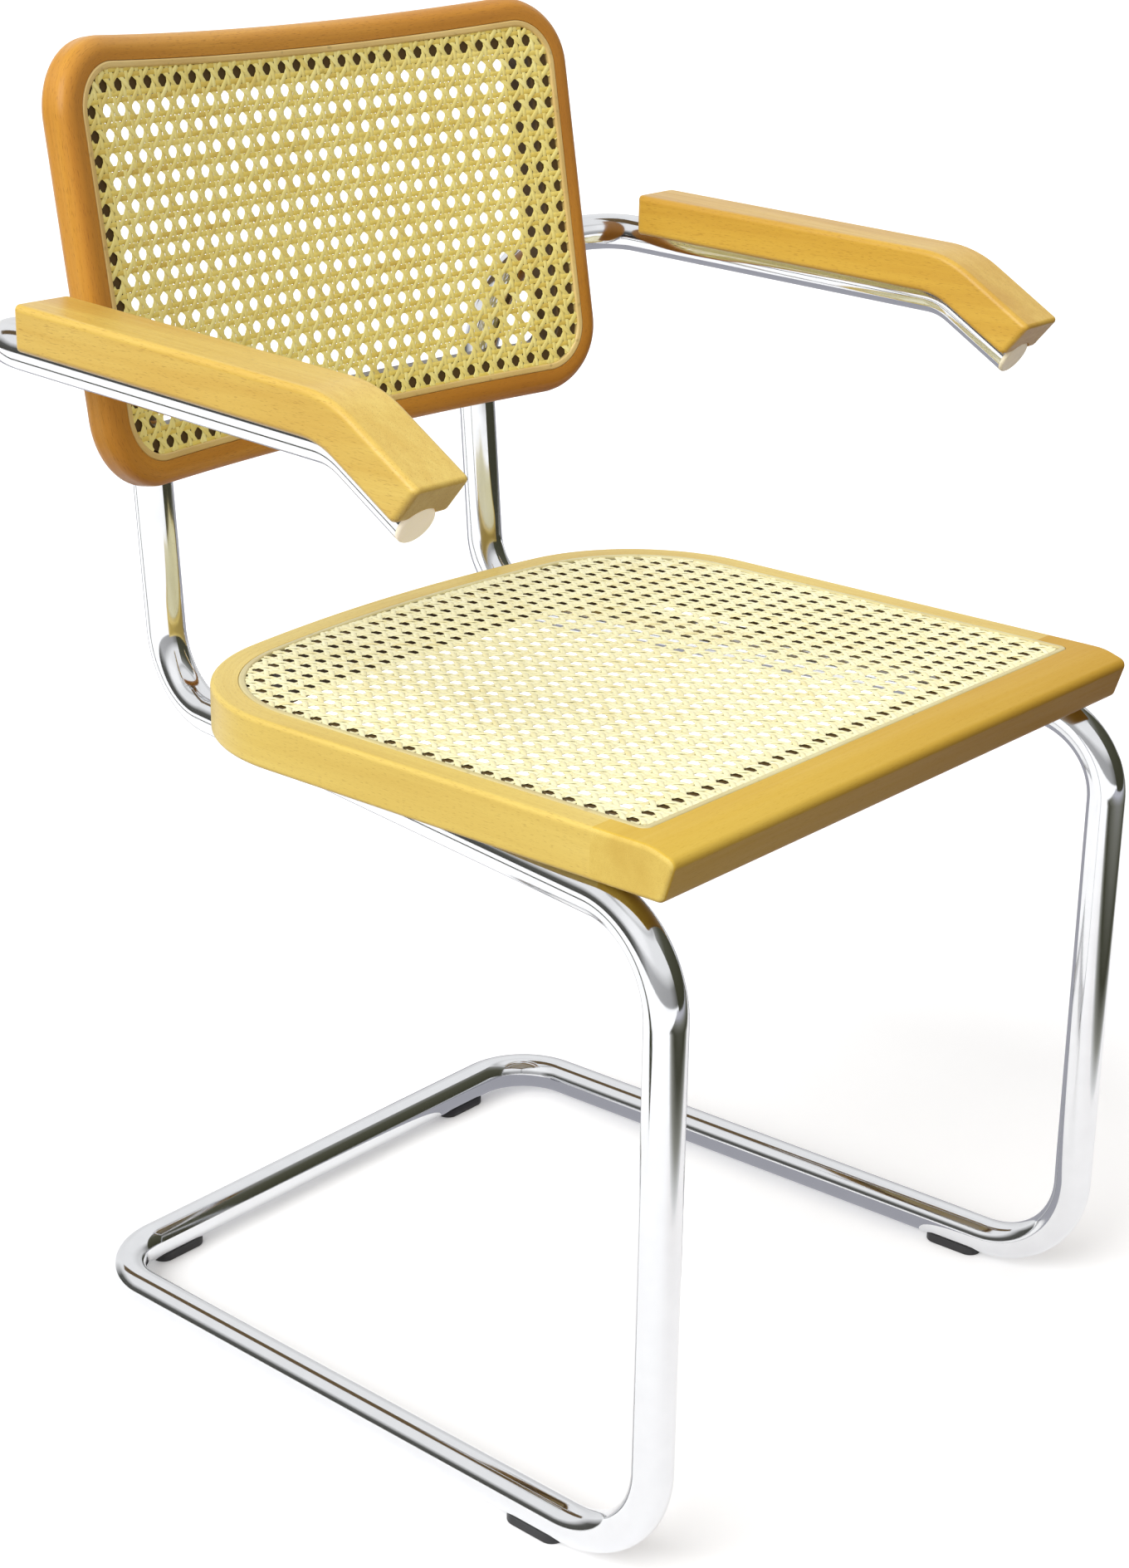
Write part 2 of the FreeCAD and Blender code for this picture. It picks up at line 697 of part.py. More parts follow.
def back_spacer(place, tube, ring):
    """Return the spacer between the tube and the ring, hollowed by one and cut by the other."""
    point, _, way, _ = place
    blank = rod(point, way, 2 * BACK_THICK, SPACER_D / 2)
    trimmed = blank.cut(tube).cut(in_back(back_layer(-BACK_THICK * 4, BACK_THICK + SEAM_GAP)))
    pieces = [s for s in trimmed.Solids if s.isInside(point + way * (TUBE_R + 1.0), 0.01, True)]
    bored = pieces[0].cut(rod(point, way, 2 * BACK_THICK, SCREW_D / 2 + SCREW_FIT))
    return bored


def save(name, shape):
    """Write one piece to its STEP file and print its volume."""
    shape.exportStep(os.path.join("parts", name + ".step"))
    print(f"{name}: {len(shape.Solids)} solids, {shape.Volume / 1000:.1f} cm3, valid {shape.isValid()}")


def save_pair(name, right):
    """Write a right-hand piece and its mirror image."""
    save(name + "_right", right)
    save(name + "_left", mirrored(right))


def main():
    """Build every piece of the chair."""
    os.makedirs("parts", exist_ok=True)
    corners, bends = upper_corners()
    upper, path = bent_tube(corners, bends, TUBE_D)
    onward = (corners[-1] - corners[-2]).normalize() * PAD_REACH
    fat_upper, _ = bent_tube([*corners[:-1], corners[-1] + onward], bends, TUBE_D + 2 * PAD_FIT)
    base_points, base_bends = base_corners()
    base, _ = bent_tube(base_points, base_bends, TUBE_D)
    fat_base, _ = bent_tube(base_points, base_bends, TUBE_D + 2 * SEAM_GAP)

    ring = in_back(back_ring())
    front_rail = seat_front_rail()
    bent_rail = seat_bent_rail()
    pad = arm_pad(fat_upper)
    upper = upper.cut(joint_bore()).cut(tip_bore())
    for side in (joint_bore(), mirrored(joint_bore())):
        base = base.cut(side)

    seat_screws = []
    for place in seat_screw_places():
        hole = flush_hole(*place)
        one = flush_screw(*place)
        for cutter, fastener in ((hole, one), (mirrored(hole), mirrored(one))):
            seat_screws.append(fastener)
            base = base.cut(cutter)
            front_rail = front_rail.cut(cutter)
            bent_rail = bent_rail.cut(cutter)
        upper = upper.cut(hole)
    save("seat_screws", Part.makeCompound(seat_screws))

    pad_screws = []
    for place in pad_screw_places():
        hole = flush_hole(*place)
        one = flush_screw(*place)
        upper = upper.cut(hole)
        pad = pad.cut(hole)
        pad_screws += [one, mirrored(one)]
    save("pad_screws", Part.makeCompound(pad_screws))

    back_screws = []
    spacers = []
    for place in back_screw_places(path):
        hole = screw_hole(*place[1:])
        one = screw(*place[1:])
        spacer = back_spacer(place, fat_upper, ring)
        upper = upper.cut(hole)
        ring = ring.cut(hole).cut(mirrored(hole))
        back_screws += [one, mirrored(one)]
        spacers += [spacer, mirrored(spacer)]
    save("back_screws", Part.makeCompound(back_screws))
    save("back_spacers", Part.makeCompound(spacers))

    bar_way = V(1, 0, 0)
    leg_way = V(runner_x(BAR_Y) - runner_x(LEG_Y), BAR_Y - LEG_Y, 0).normalize()
    places = (
        ("rear_glide", GLIDE_BAR_X, BAR_Y, bar_way),
        ("front_glide", runner_x(GLIDE_LEG_Y), GLIDE_LEG_Y, leg_way),
    )
    for name, x, y, way in places:
        save_pair(name, glide(x, y, way, fat_base))
        depth = GLIDE_H / 2 + GLIDE_STUD_L + SCREW_FIT
        hole = rod(V(x, y, 0), V(0, 0, 1), depth, GLIDE_STUD_D / 2 + SCREW_FIT)
        base = base.cut(hole).cut(mirrored(hole))

    save("base_tube", base)
    save_pair("upper_tube", upper)
    save_pair("spigot", spigot())
    save_pair("tip_cap", tip_cap())
    save_pair("arm_pad", pad)
    save("seat_front_rail", front_rail)
    save("seat_bent_rail", bent_rail)
    save("seat_cane", seat_cane())
    save("seat_spline", seat_spline())
    save("back_ring", ring)
    save("back_cane", in_back(back_cane()))
    save("back_spline", in_back(back_spline()))


main()
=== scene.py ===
"""Looks of the cantilever armchair: bright bent tube, beech frames and woven cane.

Lengths are in metres in the CAD's frame: +Z is up, the chair faces -Y, and the origin lies
on the floor in the middle of the chair's width and depth.
"""

import logging
import math
from dataclasses import dataclass, field
from enum import Enum
from typing import Callable, Iterable, Optional, Sequence, Tuple, Union

import bpy
import numpy as np
from mathutils import Matrix


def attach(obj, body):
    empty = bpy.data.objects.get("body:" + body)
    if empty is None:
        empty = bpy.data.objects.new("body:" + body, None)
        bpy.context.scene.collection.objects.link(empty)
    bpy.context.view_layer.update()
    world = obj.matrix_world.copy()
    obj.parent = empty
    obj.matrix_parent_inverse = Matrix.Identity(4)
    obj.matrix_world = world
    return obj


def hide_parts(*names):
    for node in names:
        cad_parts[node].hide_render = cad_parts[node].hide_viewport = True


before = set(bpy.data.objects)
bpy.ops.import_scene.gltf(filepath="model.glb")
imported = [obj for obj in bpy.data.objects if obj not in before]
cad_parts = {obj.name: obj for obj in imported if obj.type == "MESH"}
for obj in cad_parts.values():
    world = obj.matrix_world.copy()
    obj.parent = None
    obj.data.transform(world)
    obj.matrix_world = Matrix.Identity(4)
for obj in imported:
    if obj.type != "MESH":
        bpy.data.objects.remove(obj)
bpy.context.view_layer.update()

Array = np.ndarray
Colour = Tuple[float, float, float]
Point = Tuple[float, float, float]
Place = Sequence[float]
Pair = Tuple[float, float]
Band = Tuple[str, float, float]
Stops = Sequence[Tuple[float, Colour]]
Stretch = Tuple[Array, Array]
Lay = Callable[[Array, Array, Array], Array]
Material = bpy.types.Material
Socket = bpy.types.NodeSocket

report = logging.getLogger("armchair")
logging.basicConfig(level=logging.INFO, format="%(name)s: %(message)s")


class Grain(Enum):
    """Where a finish takes the direction of its grain from."""

    ALONG_X = "x"
    ALONG_Y = "y"
    ALONG_PIECE = "piece"


class Lift(Enum):
    """How a strand of the weave rises and dips on its way."""

    PAIR_ALONG = 1
    PAIR_ACROSS = 2
    RISING_SLANT = 3
    FALLING_SLANT = 4

    @property
    def slants(self) -> bool:
        """Tell whether the strand runs aslant, past the corners of the holes."""
        return self in (Lift.RISING_SLANT, Lift.FALLING_SLANT)

    @property
    def axis(self) -> int:
        """Return the plan axis along which the strand's crossings are counted."""
        return 0 if self is Lift.PAIR_ACROSS else 1


# Materials


def grey(level: float) -> Colour:
    """Return a grey of a level from 0 to 1."""
    return (level, level, level)


def shade(colour: Colour, share: float) -> Colour:
    """Return a share of a colour."""
    return tuple(share * part for part in colour)


class Recipe:
    """A material's node sheet, with short calls that add, set and join nodes."""

    def __init__(self, name: str) -> None:
        """Start a material with its shader.

        Args:
            name: the material's name.
        """
        self.material = bpy.data.materials.new(name)
        self.material.use_nodes = True
        self.tree = self.material.node_tree
        self.shader = self.tree.nodes["Principled BSDF"]

    def add(self, kind: str, **settings) -> bpy.types.Node:
        """Return a new node with its settings applied.

        Args:
            kind: Blender's name for the kind of node.
            settings: values of the node's own properties.

        Returns:
            The node.
        """
        node = self.tree.nodes.new(kind)
        for key, value in settings.items():
            setattr(node, key, value)
        return node

    def join(self, out: Socket, into: Socket) -> None:
        """Lead one socket into another."""
        self.tree.links.new(out, into)

    def feed(self, node: bpy.types.Node, **sockets) -> None:
        """Set constants on a node's own sockets, named with underscores for blanks."""
        for key, value in sockets.items():
            node.inputs[key.replace("_", " ")].default_value = value

    def gloss(self, **sockets) -> None:
        """Set constants on the shader's own sockets."""
        self.feed(self.shader, **sockets)

    def place(self, grain: Grain) -> Socket:
        """Return coordinates in metres whose first axis runs along the grain.

        Args:
            grain: the piece's own lengths, or the direction of the grain in the chair.

        Returns:
            The socket with the coordinates.
        """
        if grain is Grain.ALONG_PIECE:
            return self.add("ShaderNodeAttribute", attribute_name="grain").outputs["Vector"]
        source = self.add("ShaderNodeTexCoord").outputs["Object"]
        if grain is Grain.ALONG_X:
            return source
        turn = self.add("ShaderNodeMapping")
        self.feed(turn, Rotation=(0.0, 0.0, -math.pi / 2))
        self.join(source, turn.inputs["Vector"])
        return turn.outputs["Vector"]

    def noise(
        self, place: Socket, stretch: Place, detail: float = 2.0, rough: float = 0.5, twist: float = 0.0
    ) -> Socket:
        """Return soft noise, finer or coarser along each axis.

        Args:
            place: the coordinates.
            stretch: repeats per metre along each of the three axes.
            detail: octaves of finer noise added.
            rough: strength of the finer octaves.
            twist: how far the noise bends its own coordinates.

        Returns:
            The socket with values round one half.
        """
        scale = self.add("ShaderNodeMapping")
        self.feed(scale, Scale=tuple(stretch))
        self.join(place, scale.inputs["Vector"])
        cloud = self.add("ShaderNodeTexNoise")
        self.feed(cloud, Scale=1.0, Detail=detail, Roughness=rough, Distortion=twist)
        self.join(scale.outputs["Vector"], cloud.inputs["Vector"])
        return cloud.outputs["Fac"]

    def ramp(self, value: Socket, stops: Stops) -> Socket:
        """Return a colour that changes with a value through the given stops.

        Args:
            value: the value, from 0 to 1.
            stops: rising values, each with its colour.

        Returns:
            The socket with the colour.
        """
        node = self.add("ShaderNodeValToRGB")
        first, last = node.color_ramp.elements
        first.position, first.color = stops[0][0], (*stops[0][1], 1.0)
        last.position, last.color = stops[-1][0], (*stops[-1][1], 1.0)
        for position, colour in stops[1:-1]:
            node.color_ramp.elements.new(position).color = (*colour, 1.0)
        self.join(value, node.inputs["Fac"])
        return node.outputs["Color"]

    def spread(self, value: Socket, low: float, high: float, to: Pair) -> Socket:
        """Return a value taken from the range low to high over to another range.

        Args:
            value: the value.
            low: start of its range.
            high: end of its range.
            to: start and end of the other range.

        Returns:
            The socket with the new value, which stays inside the other range.
        """
        node = self.add("ShaderNodeMapRange")
        self.feed(node, From_Min=low, From_Max=high, To_Min=to[0], To_Max=to[1])
        self.join(value, node.inputs["Value"])
        return node.outputs["Result"]

    def times(self, one: Socket, other: Socket) -> Socket:
        """Return the product of two values.

        Args:
            one: the first value.
            other: the second value.

        Returns:
            The socket with the product.
        """
        node = self.add("ShaderNodeMath", operation="MULTIPLY")
        self.join(one, node.inputs[0])
        self.join(other, node.inputs[1])
        return node.outputs["Value"]

    def along(self, place: Socket, axis: str) -> Socket:
        """Return the place along one axis of the coordinates.

        Args:
            place: the coordinates.
            axis: X, Y or Z.

        Returns:
            The socket with the place.
        """
        node = self.add("ShaderNodeSeparateXYZ")
        self.join(place, node.inputs["Vector"])
        return node.outputs[axis]

    def block(self, place: Socket, bands: Sequence[Band], soft: float = 0.0002) -> Socket:
        """Return 1 inside a block of the coordinates, fading to 0 outside it.

        Args:
            place: the coordinates.
            bands: an axis X, Y or Z with the block's first and last place along it.
            soft: width of the fade.

        Returns:
            The socket with the share.
        """
        share = None
        for axis, low, high in bands:
            spot = self.along(place, axis)
            rise = self.spread(spot, low - soft, low, (0.0, 1.0))
            fall = self.spread(spot, high, high + soft, (1.0, 0.0))
            inside = self.times(rise, fall)
            share = self.times(share, inside) if share else inside
        return share

    def tint(self, share: Socket, colour: Socket, other: Colour) -> Socket:
        """Return the colour blended with another one by a share that varies.

        Args:
            share: 0 for the first colour and 1 for the other one.
            colour: the first colour.
            other: the colour blended in.

        Returns:
            The socket with the blend.
        """
        node = self.add("ShaderNodeMix", data_type="RGBA")
        self.join(share, node.inputs["Factor"])
        self.join(colour, node.inputs[6])
        node.inputs[7].default_value = (*other, 1.0)
        return node.outputs[2]

    def surface(self, colour: Socket, value: Socket, span: Pair, rough: Pair) -> None:
        """Give the surface its colour, and a roughness that follows a value over a span."""
        self.join(colour, self.shader.inputs["Base Color"])
        self.join(self.spread(value, *span, rough), self.shader.inputs["Roughness"])

    def relief(self, height: Socket, strength: float, depth: float) -> None:
        """Give the surface a fine relief.

        Args:
            height: the relief's height, from 0 to 1.
            strength: share of the relief that shows.
            depth: the full height in metres.
        """
        bump = self.add("ShaderNodeBump")
        self.feed(bump, Strength=strength, Distance=depth)
        self.join(height, bump.inputs["Height"])
        self.join(bump.outputs["Normal"], self.shader.inputs["Normal"])

    def glow(self, colour: Optional[Socket] = None) -> Material:
        """Take away everything but the surface's glow.

        Args:
            colour: the glow's colour where it varies, or None to keep the one that is set.

        Returns:
            The finished material.
        """
        if colour:
            self.join(colour, self.shader.inputs["Emission Color"])
        self.gloss(Base_Color=(*grey(0.0), 1.0), Specular_IOR_Level=0.0, Emission_Strength=1.0)
        return self.material


@dataclass(frozen=True)
class BeechFinish:
    """Lacquered beech: honey tone, long growth bands and short dark flecks.

    bands, fibres and flecks are how often each repeats per metre along the grain and across
    it. ledge is a block, as axes with the first and last place along each, in which shade is
    painted into the wood: the recess under the cane's edge is darkened to ledge_shade_colour.
    painted_shade are darker, warmer tones painted between -reach and +reach along x, with
    their shares at the left and the right, standing in for shade on a face turned from the light.
    """

    name: str
    pale: Colour
    middle: Colour
    deep: Colour
    fleck: Colour
    grain: Grain
    roughness: float = 0.36
    coat: float = 0.06
    shine: float = 0.24
    bands: Place = (2.2, 26.0, 26.0)
    fibres: Place = (9.0, 340.0, 340.0)
    flecks: Place = (210.0, 2100.0, 2100.0)
    ledge: Sequence[Band] = ()
    ledge_shade_colour: Colour = (0.085, 0.05, 0.015)
    reach: float = 0.0
    painted_shade: Sequence[Tuple[Pair, Colour]] = ()

    def make(self) -> Material:
        """Lay the bands, fibres and flecks, then the painted shade: darker tones and the dark ledge.

        Returns:
            The material.
        """
        r = Recipe(self.name)
        place = r.place(self.grain)
        tone = r.noise(place, self.bands, detail=3.0, rough=0.55, twist=0.4)
        fibre = r.noise(place, self.fibres, detail=4.0, rough=0.6)
        speck = r.noise(place, self.flecks, detail=1.0, rough=0.4)
        colour = r.ramp(tone, [(0.3, self.deep), (0.5, self.middle), (0.7, self.pale)])
        colour = r.tint(r.spread(fibre, 0.35, 0.75, (0.0, 0.42)), colour, self.deep)
        colour = r.tint(r.spread(speck, 0.6, 0.72, (0.0, 0.5)), colour, self.fleck)
        # Painted shade: darker, warmer tones where the face is turned from the light, growing along x.
        if self.painted_shade:
            inside = r.block(place, [("X", -self.reach, self.reach)])
            for shares, warm in self.painted_shade:
                share = r.spread(r.along(place, "X"), -self.reach, self.reach, shares)
                colour = r.tint(r.times(share, inside), colour, warm)
        # Painted shade: the ledge under the cane's edge is darkened as if in shadow.
        if self.ledge:
            colour = r.tint(r.block(place, self.ledge), colour, self.ledge_shade_colour)
        r.surface(colour, fibre, (0.3, 0.7), (self.roughness - 0.05, self.roughness + 0.06))
        r.gloss(Coat_Weight=self.coat, Coat_Roughness=0.22, IOR=1.45, Specular_IOR_Level=self.shine)
        r.relief(fibre, 0.12, 0.0002)
        return r.material


@dataclass(frozen=True)
class ChromeFinish:
    """Bright plating with a faint haze and hardly visible waves."""

    name: str = "chrome_tube"
    colour: Colour = (0.77, 0.78, 0.80)
    blush: Colour = (0.7, 0.71, 0.74)
    roughness: float = 0.085
    clouds: Place = (60.0, 60.0, 60.0)
    rubs: Place = (900.0, 900.0, 120.0)

    def make(self) -> Material:
        """Lay the haze and the waves over bright metal.

        Returns:
            The material.
        """
        r = Recipe(self.name)
        place = r.place(Grain.ALONG_X)
        haze = r.noise(place, self.clouds, detail=3.0, rough=0.6)
        colour = r.ramp(haze, [(0.2, self.colour), (0.8, shade(self.colour, 0.96))])
        colour = r.tint(r.spread(haze, 0.4, 0.75, (0.0, 0.14)), colour, self.blush)
        r.surface(colour, haze, (0.3, 0.75), (self.roughness - 0.015, self.roughness + 0.03))
        r.gloss(Metallic=1.0)
        r.relief(r.noise(place, self.rubs), 0.02, 0.00005)
        return r.material


@dataclass(frozen=True)
class CaneFinish:
    """Split cane: glossy straw strands, each a little paler or browner than the next.

    tones, fibres and knots are how often each repeats per metre along a strand and across
    it, and per unit of the strand's own chance number.
    """

    name: str
    pale: Colour
    middle: Colour
    deep: Colour
    roughness: float = 0.38
    tones: Place = (7.0, 0.0, 0.83)
    fibres: Place = (60.0, 3600.0, 0.7)
    knots: Place = (150.0, 200.0, 0.31)

    def make(self) -> Material:
        """Lay each strand's own tone, then its fibres and knots.

        Returns:
            The material.
        """
        r = Recipe(self.name)
        place = r.place(Grain.ALONG_PIECE)
        tone = r.noise(place, self.tones, rough=0.6)
        fibre = r.noise(place, self.fibres, rough=0.6)
        knot = r.noise(place, self.knots, detail=1.0)
        colour = r.ramp(tone, [(0.3, self.deep), (0.5, self.middle), (0.68, self.pale)])
        colour = r.tint(r.spread(fibre, 0.42, 0.72, (0.0, 0.45)), colour, self.deep)
        colour = r.tint(r.spread(knot, 0.66, 0.78, (0.0, 0.5)), colour, shade(self.deep, 0.55))
        r.surface(colour, fibre, (0.3, 0.7), (self.roughness - 0.06, self.roughness + 0.1))
        r.gloss(Coat_Weight=0.15, Coat_Roughness=0.3)
        r.relief(fibre, 0.25, 0.0001)
        return r.material


@dataclass(frozen=True)
class MouldedFinish:
    """Moulded plastic with a fine matt texture and a slight change of tone.

    glow is a painted glow: an even emission standing in for the light that a milky one lets through from
    behind.
    """

    name: str
    colour: Colour
    roughness: float
    texture: float = 0.15
    glow: float = 0.0
    clouds: float = 90.0
    pits: float = 2600.0

    def make(self) -> Material:
        """Lay the clouds of tone and the fine pits.

        Returns:
            The material.
        """
        r = Recipe(self.name)
        place = r.place(Grain.ALONG_X)
        cloud = r.noise(place, (self.clouds,) * 3, detail=3.0, rough=0.55)
        colour = r.ramp(cloud, [(0.3, shade(self.colour, 0.82)), (0.7, self.colour)])
        r.surface(colour, cloud, (0.3, 0.7), (self.roughness - 0.05, self.roughness + 0.08))
        r.relief(r.noise(place, (self.pits,) * 3, detail=1.0), self.texture, 0.0001)
        # Painted light: the plastic glows evenly in its own colour.
        r.gloss(Emission_Color=(*self.colour, 1.0), Emission_Strength=self.glow)
        return r.material


@dataclass(frozen=True)
class SteelFinish:
    """Plated fastener steel with turning marks and a dull bloom."""

    name: str
    colour: Colour = (0.62, 0.61, 0.58)
    roughness: float = 0.26
    blooms: Place = (240.0, 240.0, 240.0)
    marks: Place = (300.0, 300.0, 5200.0)

    def make(self) -> Material:
        """Lay the bloom and the turning marks over metal.

        Returns:
            The material.
        """
        r = Recipe(self.name)
        place = r.place(Grain.ALONG_X)
        bloom = r.noise(place, self.blooms, detail=3.0, rough=0.6)
        colour = r.ramp(bloom, [(0.3, shade(self.colour, 0.7)), (0.65, self.colour)])
        r.surface(colour, bloom, (0.3, 0.7), (self.roughness - 0.06, self.roughness + 0.14))
        r.gloss(Metallic=1.0)
        r.relief(r.noise(place, self.marks), 0.1, 0.0001)
        return r.material


@dataclass(frozen=True)
class MattFinish:
    """A plain matt colour for the stage, with a share of white glow."""

    name: str
    colour: Colour
    glow: float = 0.0

    def make(self) -> Material:
        """Set the even colour and the white glow.

        Returns:
            The material.
        """
        r = Recipe(self.name)
        r.gloss(Base_Color=(*self.colour, 1.0), Roughness=0.9, Specular_IOR_Level=0.1)
        r.gloss(Emission_Color=(*grey(1.0), 1.0), Emission_Strength=self.glow)
        return r.material


@dataclass(frozen=True)
class EvenGlow:
    """A glow of one colour, for what the polished tube mirrors."""

    name: str
    colour: Colour

    def make(self) -> Material:
        """Set the one colour of the glow.

        Returns:
            The material.
        """
        r = Recipe(self.name)
        r.gloss(Emission_Color=(*self.colour, 1.0))
        return r.glow()


@dataclass(frozen=True)
class GlowFinish:
    """A glow that changes along one direction, for what the polished tube mirrors.

    way is the direction, span the first and last place along it in metres, and stops the
    colours with their share of the span.
    """

    name: str
    way: Place
    span: Pair
    stops: Stops

    def make(self) -> Material:
        """Lay the stops by the place's scalar product with the direction.

        Returns:
            The material.
        """
        r = Recipe(self.name)
        along = r.add("ShaderNodeVectorMath", operation="DOT_PRODUCT")
        r.join(r.place(Grain.ALONG_X), along.inputs[0])
        along.inputs[1].default_value = self.way
        return r.glow(r.ramp(r.spread(along.outputs["Value"], *self.span, (0.0, 1.0)), self.stops))


@dataclass(frozen=True)
class RoomFinish:
    """The room that the polished tube mirrors: darker walls round the chair, light above.

    round is the walls' colours by share of the turn, starting and ending at -X and passing
    -Y at one quarter, and rise the share of light over the walls' colour by height.
    """

    name: str
    radius: float
    round: Stops
    rise: Stops

    def make(self) -> Material:
        """Lay the walls by the turn and the light by the height.

        Returns:
            The material.
        """
        r = Recipe(self.name)
        place = r.place(Grain.ALONG_X)
        turn = r.add("ShaderNodeTexGradient", gradient_type="RADIAL")
        r.join(place, turn.inputs["Vector"])
        walls = r.ramp(turn.outputs["Fac"], self.round)
        height = r.spread(r.along(place, "Z"), 0.0, self.radius, (0.0, 1.0))
        return r.glow(r.tint(r.ramp(height, self.rise), walls, grey(1.0)))


Finish = Union[BeechFinish, CaneFinish, MattFinish, EvenGlow, GlowFinish]


# Surfaces


def unit(way: Place) -> Array:
    """Return a direction divided by its length."""
    way = np.asarray(way, float)
    return way / np.linalg.norm(way)


def lengths(points: Array) -> Array:
    """Return how far along a line each of its points lies, as the sum of the steps before it."""
    steps = np.linalg.norm(np.diff(points, axis=0), axis=1)
    return np.concatenate([[0.0], np.cumsum(steps)])


def linked(thing: bpy.types.Object) -> bpy.types.Object:
    """Return an object, now in the scene."""
    bpy.context.scene.collection.objects.link(thing)
    return thing


@dataclass
class Skin:
    """Points and faces of one piece, gathered strip by strip before its mesh is made.

    Every face corner also carries a grain place: how far along the piece it lies, how far
    across, and how deep, in metres.
    """

    points: list = field(default_factory=list)
    faces: list = field(default_factory=list)
    places: list = field(default_factory=list)
    ends: list = field(default_factory=list)
    end_places: list = field(default_factory=list)
    normals: list = field(default_factory=list)
    count: int = 0

    def carry(
        self, grid: Array, grain: Array, looped: bool = False, normals: Optional[Array] = None
    ) -> None:
        """Add a closed profile carried along a path.

        Args:
            grid: points, by place along the path, round the profile, and axis.
            grain: grain places, like the grid, with one more round the profile, and one
                more along a looped path, so that a joint doesn't smear the grain.
            looped: whether the path closes on itself. An open one gets flat ends.
            normals: outward directions at the points, or None to take them from the faces.
        """
        rows, around = grid.shape[:2]
        spans = rows if looped else rows - 1
        i, j = np.meshgrid(np.arange(spans), np.arange(around), indexing="ij")
        near, far = i % rows * around, (i + 1) % rows * around
        left, right = j, (j + 1) % around
        quad = np.stack([near + left, far + left, far + right, near + right], axis=-1)
        corner = np.stack([grain[i, j], grain[i + 1, j], grain[i + 1, j + 1], grain[i, j + 1]], axis=2)
        self.faces.append(quad.reshape(-1, 4) + self.count)
        self.places.append(corner.reshape(-1, 3))
        if not looped:
            turn = np.arange(around)
            for row, order in ((0, turn), (rows - 1, turn[::-1])):
                self.ends.append(row * around + order + self.count)
                self.end_places.append(grain[row, order])
        self.points.append(grid.reshape(-1, 3))
        if normals is not None:
            self.normals.append(normals.reshape(-1, 3))
        self.count += rows * around

    def piece(self, name: str, material: Material, sharp: float = 32.0) -> bpy.types.Object:
        """Return the mesh object of everything gathered, with its faces outwards.

        The faces are turned round where the volume, a sixth of the sum of the triple
        products of their triangles' corners, comes out below zero.

        Args:
            name: the piece's name.
            material: its finish.
            sharp: edges that turn by more than this many degrees stay crisp.

        Returns:
            The object, linked to the scene at the origin.
        """
        points = np.concatenate(self.points)
        quads = np.concatenate(self.faces)
        places = [np.concatenate(self.places)]
        a, b, c, d = (points[quads[:, k]] for k in range(4))
        volume = np.einsum("ij,ij->", a, np.cross(b, c)) + np.einsum("ij,ij->", a, np.cross(c, d))
        ends, end_places = self.ends, self.end_places
        if volume < 0:
            quads = quads[:, ::-1]
            places = [places[0].reshape(-1, 4, 3)[:, ::-1].reshape(-1, 3)]
            ends = [end[::-1] for end in ends]
            end_places = [place[::-1] for place in end_places]
        loops = np.concatenate([quads.ravel(), *ends])
        places = np.concatenate(places + end_places)
        sizes = np.array([4] * len(quads) + [len(end) for end in ends])
        starts = np.concatenate([[0], np.cumsum(sizes)[:-1]])
        mesh = bpy.data.meshes.new(name)
        mesh.vertices.add(len(points))
        mesh.vertices.foreach_set("co", points.astype(np.float32).ravel())
        mesh.loops.add(len(loops))
        mesh.loops.foreach_set("vertex_index", loops.astype(np.int32))
        mesh.polygons.add(len(sizes))
        mesh.polygons.foreach_set("loop_start", starts.astype(np.int32))
        mesh.polygons.foreach_set("use_smooth", np.ones(len(sizes), dtype=bool))
        mesh.update(calc_edges=True)
        grain = mesh.attributes.new("grain", "FLOAT_VECTOR", "CORNER")
        grain.data.foreach_set("vector", places.astype(np.float32).ravel())
        if self.normals:
            mesh.normals_split_custom_set_from_vertices(np.concatenate(self.normals).tolist())
        else:
            mesh.set_sharp_from_angle(angle=math.radians(sharp))
        mesh.materials.append(material)
        return linked(bpy.data.objects.new(name, mesh))


@dataclass(frozen=True)
class Track:
    """A flat line that a profile is carried along.

    points are its places, inward the unit directions to its inner side, and looped tells
    whether it closes.
    """

    points: Array
    inward: Array
    looped: bool

    @staticmethod
    def through(parts: Sequence[Stretch], looped: bool) -> "Track":
        """Return the track through stretches of points with their inward directions."""
        return Track(np.vstack([p for p, _ in parts]), np.vstack([n for _, n in parts]), looped)

    def carried(self, profile: Array, lay: Lay) -> Tuple[Array, Array]:
        """Return a profile's grid and grain along the track.

        Each point is the line's point moved inwards by the profile's first number and laid
        at the height of its second one.

        Args:
            profile: inset and height of each of the profile's points.
            lay: takes plan x, plan y and height to places in the chair.

        Returns:
            The grid of points and the grid of grain places, for Skin.carry.
        """
        flat = self.points[:, None, :] + profile[None, :, 0, None] * self.inward[:, None, :]
        height = np.broadcast_to(profile[None, :, 1], flat.shape[:2])
        grid = lay(flat[..., 0], flat[..., 1], height)
        ring = np.vstack([profile, profile[:1]])
        line = np.vstack([self.points, self.points[:1]]) if self.looped else self.points
        grain = np.empty((len(line), len(ring), 3))
        grain[..., 0] = lengths(line)[:, None]
        grain[..., 1:] = ring[None, :, :]
        return grid, grain


def arc(centre: Place, radius: float, start: float, end: float, steps: int) -> Stretch:
    """Return points on a circle from one angle to another, with the ways to its centre.

    A point is the centre plus the radius times the cosine and sine of its angle.

    Args:
        centre: the circle's centre.
        radius: its radius.
        start: first angle in degrees.
        end: last angle in degrees.
        steps: number of equal turns between them.

    Returns:
        The points and the unit directions towards the centre.
    """
    angle = np.radians(np.linspace(start, end, steps + 1))
    out = np.stack([np.cos(angle), np.sin(angle)], axis=1)
    return np.asarray(centre) + radius * out, -out


